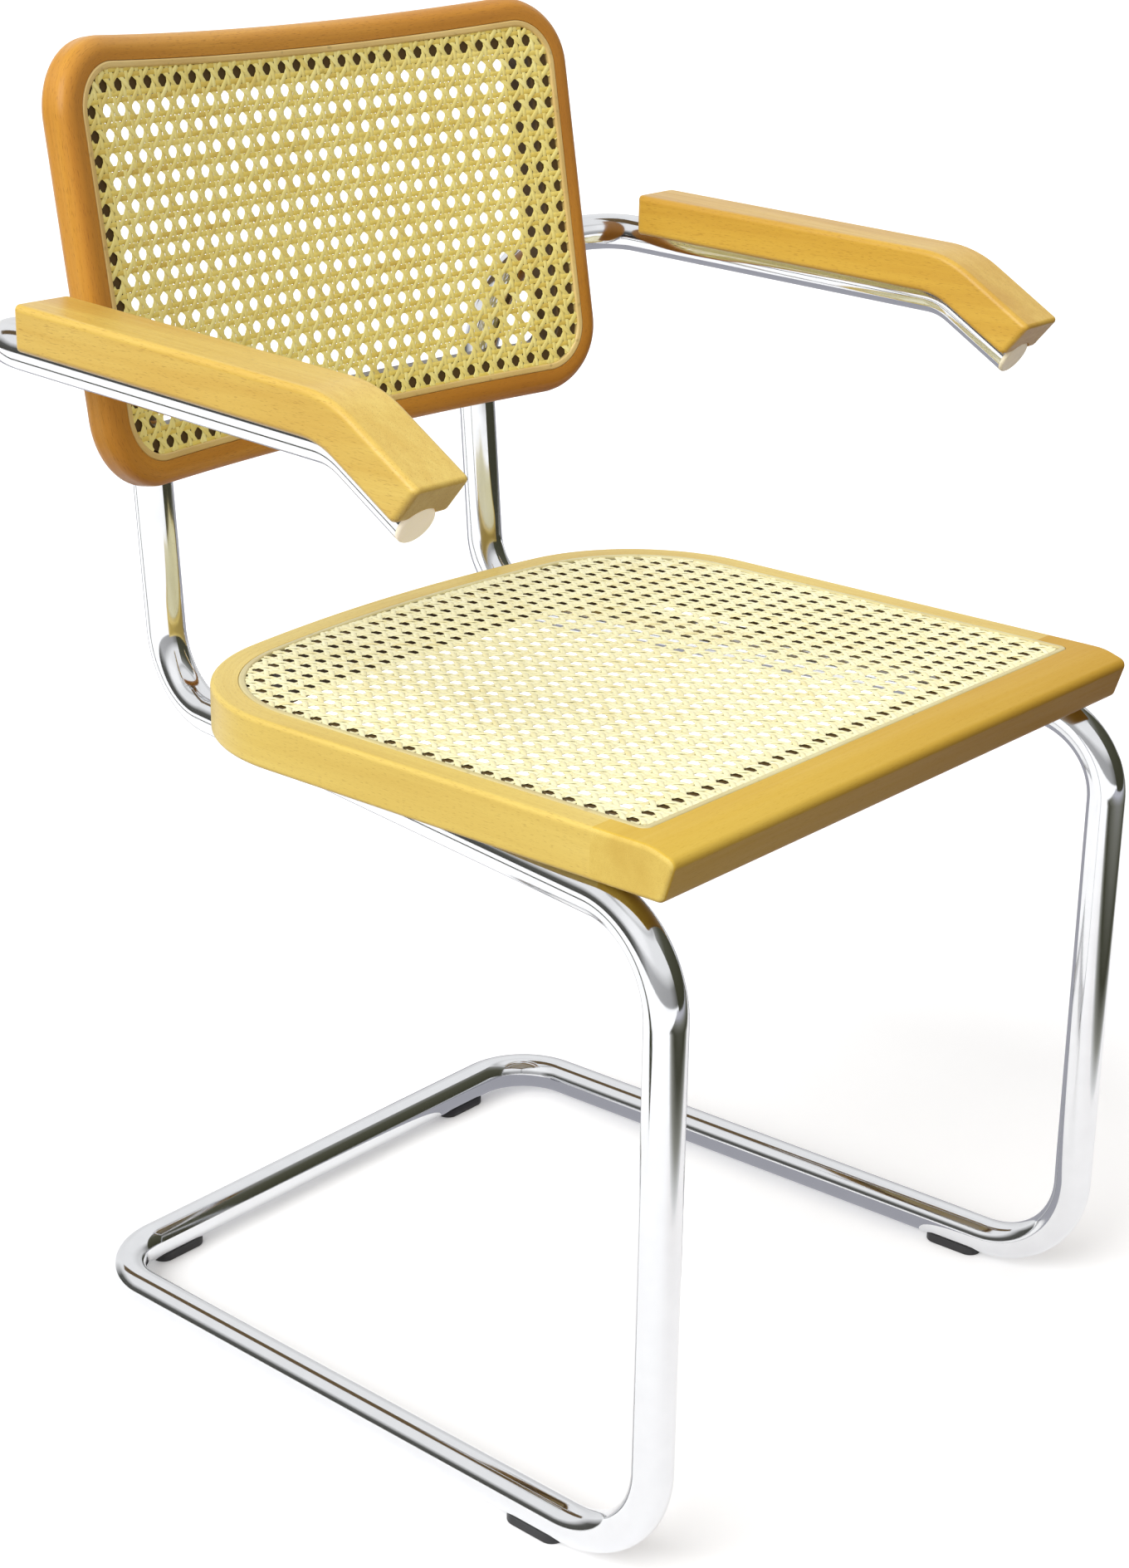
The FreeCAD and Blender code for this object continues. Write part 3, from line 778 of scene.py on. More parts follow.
def run(start: Place, end: Place, inward: Place, step: float) -> Stretch:
    """Return points strictly between two ends, each the ends' blend by its share of the way.

    Args:
        start: the straight line's first end.
        end: its last end.
        inward: unit direction to its inner side.
        step: longest step.

    Returns:
        The points, and the inward direction at each.
    """
    count = max(2, int(math.ceil(math.dist(start, end) / step)))
    share = np.linspace(0.0, 1.0, count + 1)[1:-1, None]
    points = (1.0 - share) * np.asarray(start, float) + share * np.asarray(end, float)
    return points, np.broadcast_to(np.asarray(inward, float), points.shape)


def bend(corner: Array, back: Array, ahead: Array, radius: float, steps: int) -> Array:
    """Return the arc that rounds a corner.

    The arc's centre lies on the bisector, the radius over the sine of half the corner's
    angle away, and the arc turns from one side's direction to the other's.

    Args:
        corner: the corner's place.
        back: unit direction from it to the corner before.
        ahead: unit direction from it to the corner after.
        radius: the arc's radius.
        steps: number of equal turns.

    Returns:
        The points in order.
    """
    half = math.acos(np.clip(np.dot(back, ahead), -1, 1)) / 2
    start = corner + back * (radius / math.tan(half))
    centre = corner + unit(back + ahead) * radius / math.sin(half)
    turn = np.linspace(0.0, math.pi - 2 * half, steps + 1)[:, None]
    return centre + (start - centre) * np.cos(turn) - back * radius * np.sin(turn)


def rounded(corners: Sequence[Place], radii: Sequence[float], steps: int = 7) -> Array:
    """Return a closed flat profile whose corners are rounded by their radii.

    A pair of close points beside each arc keeps the flats between them plain.

    Args:
        corners: the profile's corners in order.
        radii: each corner's radius, 0 for a crisp one.
        steps: turns per arc.

    Returns:
        The points in order.
    """
    corners = np.array(corners)
    pieces = []
    for k, (corner, radius) in enumerate(zip(corners, radii)):
        if radius == 0:
            pieces.append(corner[None])
            continue
        back, ahead = unit(corners[k - 1] - corner), unit(corners[(k + 1) % len(corners)] - corner)
        curve = bend(corner, back, ahead, radius, steps)
        lead = min(0.0006, 0.3 * radius)
        pieces.append(np.vstack([curve[0] + back * lead, curve, curve[-1] + ahead * lead]))
    return np.vstack(pieces)


def bent_line(corners: Array, radii: Sequence[float], step: float = 0.02, turn: float = 3.0) -> Array:
    """Return points along straight runs and arcs in space, from the first corner to the last.

    Args:
        corners: the line's corners, one row each.
        radii: the bend's radius at each corner, 0 at both ends.
        step: longest straight step.
        turn: largest turn of an arc's step, in degrees.

    Returns:
        The points in order.
    """
    pieces = [corners[:1]]
    for k in range(1, len(corners)):
        curve = corners[k:]
        if k < len(corners) - 1:
            back, ahead = unit(corners[k - 1] - corners[k]), unit(corners[k + 1] - corners[k])
            sweep = math.degrees(math.pi - math.acos(np.dot(back, ahead)))
            curve = bend(corners[k], back, ahead, radii[k], int(math.ceil(sweep / turn)))
        last = pieces[-1][-1]
        count = int(math.ceil(math.dist(last, curve[0]) / step))
        straight = np.linspace(0.0, 1.0, count + 1)[1:-1, None]
        pieces.append(last + straight * (curve[0] - last))
        pieces.append(curve)
    return np.vstack(pieces)


def round_bar(line: Array, radius: float, guide: Place, around: int = 40) -> Skin:
    """Return the skin of a round bar along a line.

    Each ring is the cosine and sine of its angle along two directions square to the line:
    the guide direction with its share along the line taken away, and the cross product of
    the line's direction with that.

    Args:
        line: the centreline's points.
        radius: the bar's radius.
        guide: a direction that the line never runs along.
        around: points round the bar.

    Returns:
        The skin, with true normals.
    """
    way = np.gradient(line, axis=0)
    way[0], way[-1] = line[1] - line[0], line[-1] - line[-2]
    way /= np.linalg.norm(way, axis=1)[:, None]
    side = np.asarray(guide, float) - (way @ np.asarray(guide, float))[:, None] * way
    side /= np.linalg.norm(side, axis=1)[:, None]
    other = np.cross(way, side)
    angle = np.linspace(0.0, 2 * math.pi, around + 1)
    out = np.cos(angle)[None, :, None] * side[:, None] + np.sin(angle)[None, :, None] * other[:, None]
    grain = np.zeros((len(line), around + 1, 3))
    grain[..., 0] = lengths(line)[:, None]
    grain[..., 1] = radius * angle[None, :]
    skin = Skin()
    ring = out[:, :-1]
    skin.carry(line[:, None] + radius * ring, grain, normals=ring)
    return skin


# Woven cane


@dataclass(frozen=True)
class Lattice:
    """Six-way cane weave with eight-sided holes.

    Pairs of strands run between the holes both ways, and two sets of slanting strands cut
    the corners of the holes. pitch and hole are the spacing of the holes and the place of
    one of them, along x and y of the panel's plan. pair_rise and flatness shape the way a
    pair's and a slanting strand's height changes. Each strand sways a little sideways, with
    a chance wave, width share and tone within the given limits.
    """

    pitch: Pair
    hole: Pair
    pair_width: float = 0.0028
    pair_gap: float = 0.0004
    slant_width: float = 0.0030
    thick: float = 0.00045
    seed: int = 5
    pair_rise: float = 0.56
    flatness: float = 2.2
    shortest: float = 0.004
    end_gap: float = 0.0005
    sway: float = 0.00012
    waves: Pair = (0.05, 0.09)
    widths: Pair = (0.93, 1.05)
    tones: Pair = (0.0, 60.0)

    @property
    def pair_half(self) -> float:
        """Return half the distance between the strands of a pair."""
        return (self.pair_width + self.pair_gap) / 2

    def strand_profile(self, width: float) -> Array:
        """Return a strand's section, flat below and domed above.

        Args:
            width: the strand's width.

        Returns:
            Offsets across and up of each of its points.
        """
        across = np.array([-0.5, -0.33, 0.0, 0.33, 0.5, 0.3, -0.3]) * width
        up = np.array([-0.1, 0.36, 0.55, 0.36, -0.1, -0.45, -0.45]) * self.thick
        return np.stack([across, up], axis=1)

    def chord(self, outline: Array, normal: Array, offset: float, way: Array) -> Optional[Pair]:
        """Return where a straight line enters and leaves a closed outline.

        The line cuts the sides whose ends lie on different sides of it, at the share of the
        side that the ends' distances from it give.

        Args:
            outline: the outline's points.
            normal: unit direction square to the line.
            offset: the line's distance from the plan's origin.
            way: the line's unit direction.

        Returns:
            The first and last length along the line, or None where it misses the outline.
        """
        gap = outline @ normal - offset
        ahead = np.roll(gap, -1)
        cut = (gap < 0) != (ahead < 0)
        if cut.sum() < 2:
            return None
        share = (gap / (gap - ahead + 1e-15))[cut, None]
        spots = outline[cut] + share * (np.roll(outline, -1, axis=0)[cut] - outline[cut])
        reach = spots @ way
        return float(reach.min()), float(reach.max())

    def swing(self, lift: Lift, spot: Array, side: int) -> Array:
        """Return how high a strand lies above the panel's middle.

        A pair's strand goes over one strand of each pair it crosses and under the other: an
        odd bump, the distance over the pair's half spacing times a falling exponential of
        its square. A slanting strand goes over one kind of pair and under the other: a
        cosine over the pitch, flattened by a hyperbolic tangent.

        Args:
            lift: the kind of strand.
            spot: plan places along the strand.
            side: -1 or 1, the strand's side of its pair.

        Returns:
            The heights in metres.
        """
        axis = lift.axis
        phase = (spot[:, axis] - self.hole[axis]) / self.pitch[axis]
        if not lift.slants:
            away = (phase - np.floor(phase) - 0.5) * self.pitch[axis] / self.pair_half
            sign = side if lift is Lift.PAIR_ACROSS else -side
            return self.pair_rise * self.thick * sign * away * np.exp(0.5 * (1.0 - away**2))
        wave = np.tanh(self.flatness * np.cos(2 * math.pi * phase)) / math.tanh(self.flatness)
        return self.thick * (wave if lift is Lift.FALLING_SLANT else -wave)

    def stations(self, lift: Lift, start: float, end: float, way: Array, base: Array) -> Array:
        """Return the lengths along a strand at which its section is set.

        A pair's strand has them close together where it crosses a pair, and a slanting one
        has eight to a hole.

        Args:
            lift: the kind of strand.
            start: length at which the strand starts.
            end: length at which it ends.
            way: its unit direction.
            base: the plan place at length 0.

        Returns:
            The lengths in rising order, with both ends.
        """
        axis = lift.axis
        pitch, hole, rate = self.pitch[axis], self.hole[axis], way[axis]
        marks = np.arange(8) / 8
        if not lift.slants:
            half = self.pair_half / pitch
            marks = 0.5 + np.array([-0.5, -2.1 * half, -half, 0.0, half, 2.1 * half])
        low, high = sorted((base[axis] + start * rate, base[axis] + end * rate))
        cells = np.arange(math.floor((low - hole) / pitch), math.ceil((high - hole) / pitch) + 1)
        spots = hole + pitch * (cells[:, None] + marks[None, :]).ravel()
        length = np.sort((spots - base[axis]) / rate)
        inside = length[(length > start + self.end_gap) & (length < end - self.end_gap)]
        return np.concatenate([[start], inside, [end]])

    def offsets(self, lift: Lift, outline: Array, normal: Array) -> Iterable[Tuple[float, int]]:
        """Yield where each strand of one kind lies.

        The middles of the pairs, or the slanting strands, lie half a pitch past the holes. The
        slanting ones' pitch is the product of the two pitches over the root of the sum of
        their squares.

        Args:
            lift: the kind of strand.
            outline: the panel's closed plan outline.
            normal: unit direction square to the strands.

        Returns:
            Each strand's distance from the plan's origin, and its side of its pair.
        """
        reach = outline @ normal
        hole = np.asarray(self.hole) @ normal
        pitch = self.pitch[0] if lift is Lift.PAIR_ALONG else self.pitch[1]
        if lift.slants:
            pitch = self.pitch[0] * self.pitch[1] / math.hypot(*self.pitch)
        first = math.floor((reach.min() - hole) / pitch) - 1
        last = math.ceil((reach.max() - hole) / pitch) + 1
        turn = -1 if lift is Lift.PAIR_ALONG else 1
        for middle in (hole + (k + 0.5) * pitch for k in range(first, last)):
            if lift.slants:
                yield middle, 1
            else:
                yield middle - self.pair_half, -turn
                yield middle + self.pair_half, turn

    def strands(self, lift: Lift, outline: Array, lay: Lay) -> Skin:
        """Return the skin of all strands of one kind inside an outline.

        Args:
            lift: the kind of strand.
            outline: the panel's closed plan outline.
            lay: takes plan x, plan y and height to places in the chair.

        Returns:
            The skin with one closed strip per strand.
        """
        chance = np.random.default_rng(self.seed + lift.value)
        slope = self.pitch[1] / self.pitch[0]
        ways = {
            Lift.PAIR_ALONG: (0.0, 1.0),
            Lift.PAIR_ACROSS: (1.0, 0.0),
            Lift.RISING_SLANT: (1.0, slope),
            Lift.FALLING_SLANT: (1.0, -slope),
        }
        way = unit(ways[lift])
        normal = np.array([-way[1], way[0]])
        skin = Skin()
        for offset, side in self.offsets(lift, outline, normal):
            ends = self.chord(outline, normal, offset, way)
            if ends is None or ends[1] - ends[0] < self.shortest:
                continue
            base = offset * normal
            length = self.stations(lift, *ends, way, base)
            spot = base + length[:, None] * way
            wave = chance.uniform(*self.waves), chance.uniform(0, 2 * math.pi)
            sway = self.sway * np.sin(2 * math.pi * length / wave[0] + wave[1])
            width = (self.slant_width if lift.slants else self.pair_width) * chance.uniform(*self.widths)
            section = self.strand_profile(width)
            flat = spot[:, None] + (section[None, :, 0, None] + sway[:, None, None]) * normal
            height = self.swing(lift, spot, side)[:, None] + section[None, :, 1]
            grain = np.empty((len(length), len(section) + 1, 3))
            grain[..., 0] = length[:, None]
            grain[..., 1] = np.append(section[:, 0], section[0, 0])[None, :]
            grain[..., 2] = chance.uniform(*self.tones)
            skin.carry(lay(flat[..., 0], flat[..., 1], height), grain)
        return skin


WEAVE_PIECES = (
    (Lift.PAIR_ALONG, "lengthways"),
    (Lift.PAIR_ACROSS, "crossways"),
    (Lift.RISING_SLANT, "rising"),
    (Lift.FALLING_SLANT, "falling"),
)


# Pieces of the chair


class Chair:
    """Helpers that every part of the chair uses to show and dress its pieces."""

    @staticmethod
    def show(piece: bpy.types.Object, slot: str, node: str) -> None:
        """Let a new piece ride on the chair and stand for a node.

        Args:
            piece: the mesh object.
            slot: the finish's name in the library; not used.
            node: the CAD node that the piece stands for.
        """
        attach(piece, "root")
        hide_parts(node)
        report.info("%s: %d faces", piece.name, len(piece.data.polygons))

    @staticmethod
    def dress(material: Material, *nodes: str) -> None:
        """Give CAD nodes a finish.

        Args:
            material: the finish.
            nodes: the CAD nodes' names.
        """
        for name in nodes:
            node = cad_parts[name]
            if not node.data.materials:
                node.data.materials.append(material)
            for slot in node.material_slots:
                slot.material = material
            report.info("%s: dressed in %s", name, material.name)


@dataclass
class TubeFrame(Chair):
    """The bent steel tube: floor loop with legs, and the two upper tubes with the arms.

    leg, bar and upright are plan places of the right leg, the rear bar's right end and the
    right upright. lean, splay, drop and tip_drop are angles in degrees. The bends are the
    radii at the corners, and the guides directions that the tubes never run along.
    """

    radius: float = 0.0125
    floor_z: float = 0.0165
    rail_z: float = 0.4178
    leg: Pair = (0.229, -0.2528)
    bar: Pair = (0.215, 0.2397)
    upright: Pair = (0.1525, 0.2179)
    lean: float = 4.6
    shoulder_z: float = 0.6457
    elbow: Point = (0.278, 0.236, 0.6687)
    splay: float = 1.35
    drop: float = 2.25
    wrist_y: float = -0.071
    tip_drop: float = 31.2
    tip_length: float = 0.0615
    joint_y: float = 0.06
    seam: float = 0.0002
    loop_bends: Place = (0.0, 0.057, 0.065, 0.047)
    upper_bends: Place = (0.0, 0.05, 0.1, 0.047, 0.045, 0.0)
    loop_guide: Point = (1.0, 0.45, -0.8)
    upper_guide: Point = (-0.5, -0.6, -0.6)

    def rail_x(self, y: float) -> float:
        """Return how far out the seat rail lies at a depth."""
        share = (y - self.leg[1]) / (self.upright[1] - self.leg[1])
        return self.leg[0] + (self.upright[0] - self.leg[0]) * share

    def floor_loop(self) -> Array:
        """Work out the floor loop's centreline, from the left joint to the right one.

        Returns:
            The centreline's points.
        """
        right = [
            (self.rail_x(self.joint_y), self.joint_y, self.rail_z),
            (*self.leg, self.rail_z),
            (*self.leg, self.floor_z),
            (*self.bar, self.floor_z),
        ]
        left = [(-x, y, z) for x, y, z in right]
        return bent_line(np.array(left + right[::-1]), self.loop_bends + self.loop_bends[::-1])

    def upper_line(self, side: float) -> Array:
        """Work out an upper tube's centreline, from its joint to its tip.

        Args:
            side: -1 for the left tube, 1 for the right one.

        Returns:
            The centreline's points.
        """
        splay, drop, lean, tip = np.tan(np.radians([self.splay, self.drop, self.lean, self.tip_drop]))
        shoulder_y = self.upright[1] + (self.shoulder_z - self.rail_z) * lean
        wrist = self.elbow + np.array([splay, -1.0, -drop]) * (self.elbow[1] - self.wrist_y)
        start = self.joint_y + self.seam
        corners = np.array(
            [
                (self.rail_x(start), start, self.rail_z),
                (*self.upright, self.rail_z),
                (self.upright[0], shoulder_y, self.shoulder_z),
                self.elbow,
                wrist,
                wrist + unit((splay, -1.0, -tip)) * self.tip_length,
            ]
        )
        return bent_line(corners * (side, 1.0, 1.0), self.upper_bends)

    def build(self) -> None:
        """Make the three tubes."""
        chrome = ChromeFinish().make()
        loop = round_bar(self.floor_loop(), self.radius, self.loop_guide)
        self.show(loop.piece("floor_loop", chrome), "chrome_tube", "base_tube")
        for side, name in ((-1.0, "left"), (1.0, "right")):
            guide = np.array(self.upper_guide) * (side, 1.0, 1.0)
            bar = round_bar(self.upper_line(side), self.radius, guide)
            self.show(bar.piece(f"arm_tube_{name}", chrome), "chrome_tube", f"upper_tube_{name}")


@dataclass
class CanedFrame(Chair):
    """A beech frame with a groove, which the spline fills, and a ledge, which carries the cane.

    part is the name of the part in the pieces' names, stock the width of the frame, and
    spline_inset how far inside its outline the groove starts. tuck is how far the cane
    reaches over the groove. shade_edge keeps the painted shade of the ledge off the outer
    faces, and step is the longest straight step of an outline.
    """

    part: str
    stock: float
    thick: float
    spline_inset: float
    front_arris: float
    foot_arris: float
    foot_inner_arris: float
    arris_steps: int
    weave: Lattice
    spline_wide: float = 0.0044
    spline_deep: float = 0.006
    spline_proud: float = 0.0004
    spline_arris: float = 0.0013
    spline_arris_steps: int = 5
    spline_fit: float = 0.0001
    groove_wide: float = 0.0058
    groove_deep: float = 0.007
    groove_arris: float = 0.0004
    ledge_drop: float = 0.0015
    ledge_arris: float = 0.0003
    inner_arris: float = 0.0008
    tuck: float = 0.0012
    weave_middle: float = 0.00075
    shade_edge: float = 0.001
    cane_sharp: float = 60.0
    step: float = 0.02

    @property
    def ledge(self) -> float:
        """Return how far inside the frame's outline the ledge starts."""
        return self.spline_inset + self.groove_wide

    def level(self, depth: float) -> float:
        """Return the height, as lay takes it, at a depth below the frame's face."""
        raise NotImplementedError

    def lay(self, x: Array, y: Array, height: Array) -> Array:
        """Return places in the chair of the frame's plan places and heights."""
        raise NotImplementedError

    def inner_track(self, inset: float) -> Track:
        """Return the closed outline that the spline and the cane follow, at an inset."""
        raise NotImplementedError

    def painted_ledge_block(self) -> Sequence[Band]:
        """Return the block of the ledge, where shade is painted under the cane, in a grain that follows
        the frame.
        """
        ends = sorted((self.level(self.shade_edge), self.level(self.thick - self.shade_edge)))
        return [("Y", self.ledge, self.stock + self.shade_edge), ("Z", *ends)]

    def section(self) -> Array:
        """Work out the frame's section: rounded outside, spline groove and low ledge.

        Returns:
            Inset and height of each of its points.
        """
        corners = [
            (0.0, 0.0),
            (self.spline_inset, 0.0),
            (self.spline_inset, self.groove_deep),
            (self.ledge, self.groove_deep),
            (self.ledge, self.ledge_drop),
            (self.stock, self.ledge_drop),
            (self.stock, self.thick),
            (0.0, self.thick),
        ]
        radii = [self.front_arris, self.groove_arris, 0, 0, self.ledge_arris, self.inner_arris]
        radii += [self.foot_inner_arris, self.foot_arris]
        return rounded([(inset, self.level(depth)) for inset, depth in corners], radii, self.arris_steps)

    def spline_section(self) -> Array:
        """Work out the spline's section with its rounded face.

        Returns:
            Inset and height of each of its points.
        """
        face, foot = self.level(-self.spline_proud), self.level(self.spline_deep - self.spline_proud)
        corners = [(0.0, face), (self.spline_wide, face), (self.spline_wide, foot), (0.0, foot)]
        return rounded(corners, [self.spline_arris, self.spline_arris, 0, 0], self.spline_arris_steps)

    def sweep(self, track: Track, section: Array, name: str, finish: Finish, slot: str, node: str) -> None:
        """Make a piece by carrying a section along a track.

        Args:
            track: the line.
            section: inset and height of the section's points.
            name: the piece's name.
            finish: its finish.
            slot: the finish's name in the library.
            node: the CAD node that the piece stands for.
        """
        grid, grain = track.carried(section, self.lay)
        skin = Skin()
        skin.carry(grid, grain, looped=track.looped)
        self.show(skin.piece(name, finish.make()), slot, node)

    def make_cane(self, reed: CaneFinish, canes: Sequence[Material]) -> None:
        """Make the spline and the cane inside it, one piece for each way its strands run.

        Args:
            reed: the spline's finish.
            canes: the material of each way's strands.
        """
        spline = self.inner_track(self.spline_inset + self.spline_fit)
        names = f"{self.part}_reed", reed, "spline_reed", f"{self.part}_spline"
        self.sweep(spline, self.spline_section(), *names)
        outline = self.inner_track(self.ledge - self.tuck).points

        def lay_cane(x: Array, y: Array, height: Array) -> Array:
            """Return places of the cane, its height measured outwards from the weave's middle."""
            return self.lay(x, y, self.level(self.weave_middle - height))

        for (lift, way), cane in zip(WEAVE_PIECES, canes):
            skin = self.weave.strands(lift, outline, lay_cane)
            piece = skin.piece(f"{self.part}_cane_{way}", cane, self.cane_sharp)
            self.show(piece, "cane", f"{self.part}_cane")


@dataclass
class SeatFrame(CanedFrame):
    """The seat: a bent rail round the sides and rear, a rolled front rail, cane and spline."""

    part: str = "seat"
    stock: float = 0.037
    thick: float = 0.0309
    spline_inset: float = 0.017
    front_arris: float = 0.003
    foot_arris: float = 0.003
    foot_inner_arris: float = 0.0008
    arris_steps: int = 7
    weave: Lattice = Lattice(
        (0.0131, 0.0150), (-0.2066, -0.2083), pair_width=0.0034, slant_width=0.0033, thick=0.00066
    )
    top: float = 0.4614
    half: float = 0.2327
    rear: float = 0.171
    bow: float = 0.975
    corner: float = 0.112
    joint_y: float = -0.2005
    nose_y: float = -0.258
    spline_front: float = 0.0335
    front_corner: float = 0.006
    rail_end: float = 0.0015
    corner_steps: int = 36
    bow_steps: int = 24
    front_steps: int = 10

    def lay(self, x: Array, y: Array, height: Array) -> Array:
        """Return places in the chair: plan x and y as they are, height above the floor."""
        return np.stack([x, y, height], axis=-1)

    def level(self, depth: float) -> float:
        """Return the height above the floor at a depth below the seat's top."""
        return self.top - depth

    def track(self, inset: float, front: float, corner: float = 0.0) -> Track:
        """Return the seat's outline at an inset, open at the front or closed round it.

        Straight sides run into round corners and a wide bow, all with centres that stay
        where they are at every inset. A closed outline has a straight front with small
        round corners.

        Args:
            inset: distance inside the seat's outer side.
            front: y where the sides start.
            corner: radius of the closed outline's front corners, 0 for an open one.

        Returns:
            The track from the right front, round the rear, to the left front.
        """
        half, radius, bow = self.half - inset, self.corner - inset, self.bow - inset
        bow_y, corner_x = self.rear - self.bow, self.half - self.corner
        rise = math.sqrt((self.bow - self.corner) ** 2 - corner_x**2)
        corner_y = bow_y + rise
        meet = math.degrees(math.atan2(rise, corner_x))
        start, inner = front + corner, half - corner
        crown = arc((0.0, bow_y), bow, meet, 180.0 - meet, self.bow_steps)
        parts = [
            run((half, start), (half, corner_y), (-1.0, 0.0), self.step),
            arc((corner_x, corner_y), radius, 0.0, meet, self.corner_steps),
            (crown[0][1:-1], crown[1][1:-1]),
            arc((-corner_x, corner_y), radius, 180.0 - meet, 180.0, self.corner_steps),
            run((-half, corner_y), (-half, start), (1.0, 0.0), self.step),
        ]
        if corner:
            parts.append(arc((-inner, start), corner, 180.0, 270.0, self.front_steps))
            parts.append(run((-inner, front), (inner, front), (0.0, 1.0), self.step))
            parts.append(arc((inner, start), corner, 270.0, 360.0, self.front_steps))
        else:
            parts.insert(0, (np.array([[half, start]]), np.array([[-1.0, 0.0]])))
            parts.append((np.array([[-half, start]]), np.array([[1.0, 0.0]])))
        return Track.through(parts, corner > 0)

    def inner_track(self, inset: float) -> Track:
        """Return the closed outline at an inset, its front parallel to the front rail."""
        return self.track(inset, self.front_line(inset), self.front_corner)

    def front_line(self, inset: float) -> float:
        """Return the y of the closed outline's front at an inset."""
        return self.nose_y + self.spline_front + inset - self.spline_inset

    def build(self) -> None:
        """Make the bent rail, the spline and the weave, and dress the front rail."""
        inner, front = self.half - self.ledge, self.front_line(self.ledge)
        tones = (0.77, 0.61, 0.180), (0.71, 0.535, 0.135), (0.61, 0.42, 0.092), (0.43, 0.26, 0.060)
        # Painted shade darkens the ledge under the cane in both beech finishes.
        beech = BeechFinish("seat_beech", *tones, Grain.ALONG_PIECE, ledge=self.painted_ledge_block())
        # The front rail's finish is a shaded copy of the seat's beech: painted darker, warmer tones,
        # deepest at the right, stand in for shade on its face turned from the light.
        straight = BeechFinish(
            "seat_front_beech_painted_shade",
            *tones,
            Grain.ALONG_X,
            coat=0.0,
            shine=0.12,
            ledge=[("X", -inner, inner), ("Y", front, 0.0), self.painted_ledge_block()[1]],
            reach=self.half - self.rail_end,
            painted_shade=[((0.5, 0.5), (0.62, 0.37, 0.0)), ((0.0, 0.5), (0.42, 0.18, 0.0))],
        )
        reed = CaneFinish("seat_reed", (0.68, 0.62, 0.33), (0.63, 0.56, 0.27), (0.55, 0.45, 0.20))
        cane = CaneFinish("seat_weave", (0.92, 0.88, 0.60), (0.88, 0.84, 0.52), (0.80, 0.71, 0.36))
        rail = self.track(0.0, self.joint_y)
        self.sweep(rail, self.section(), "bent_seat_rail", beech, "seat_beech", "seat_bent_rail")
        self.dress(straight.make(), "seat_front_rail")
        self.make_cane(reed, [cane.make()] * len(WEAVE_PIECES))


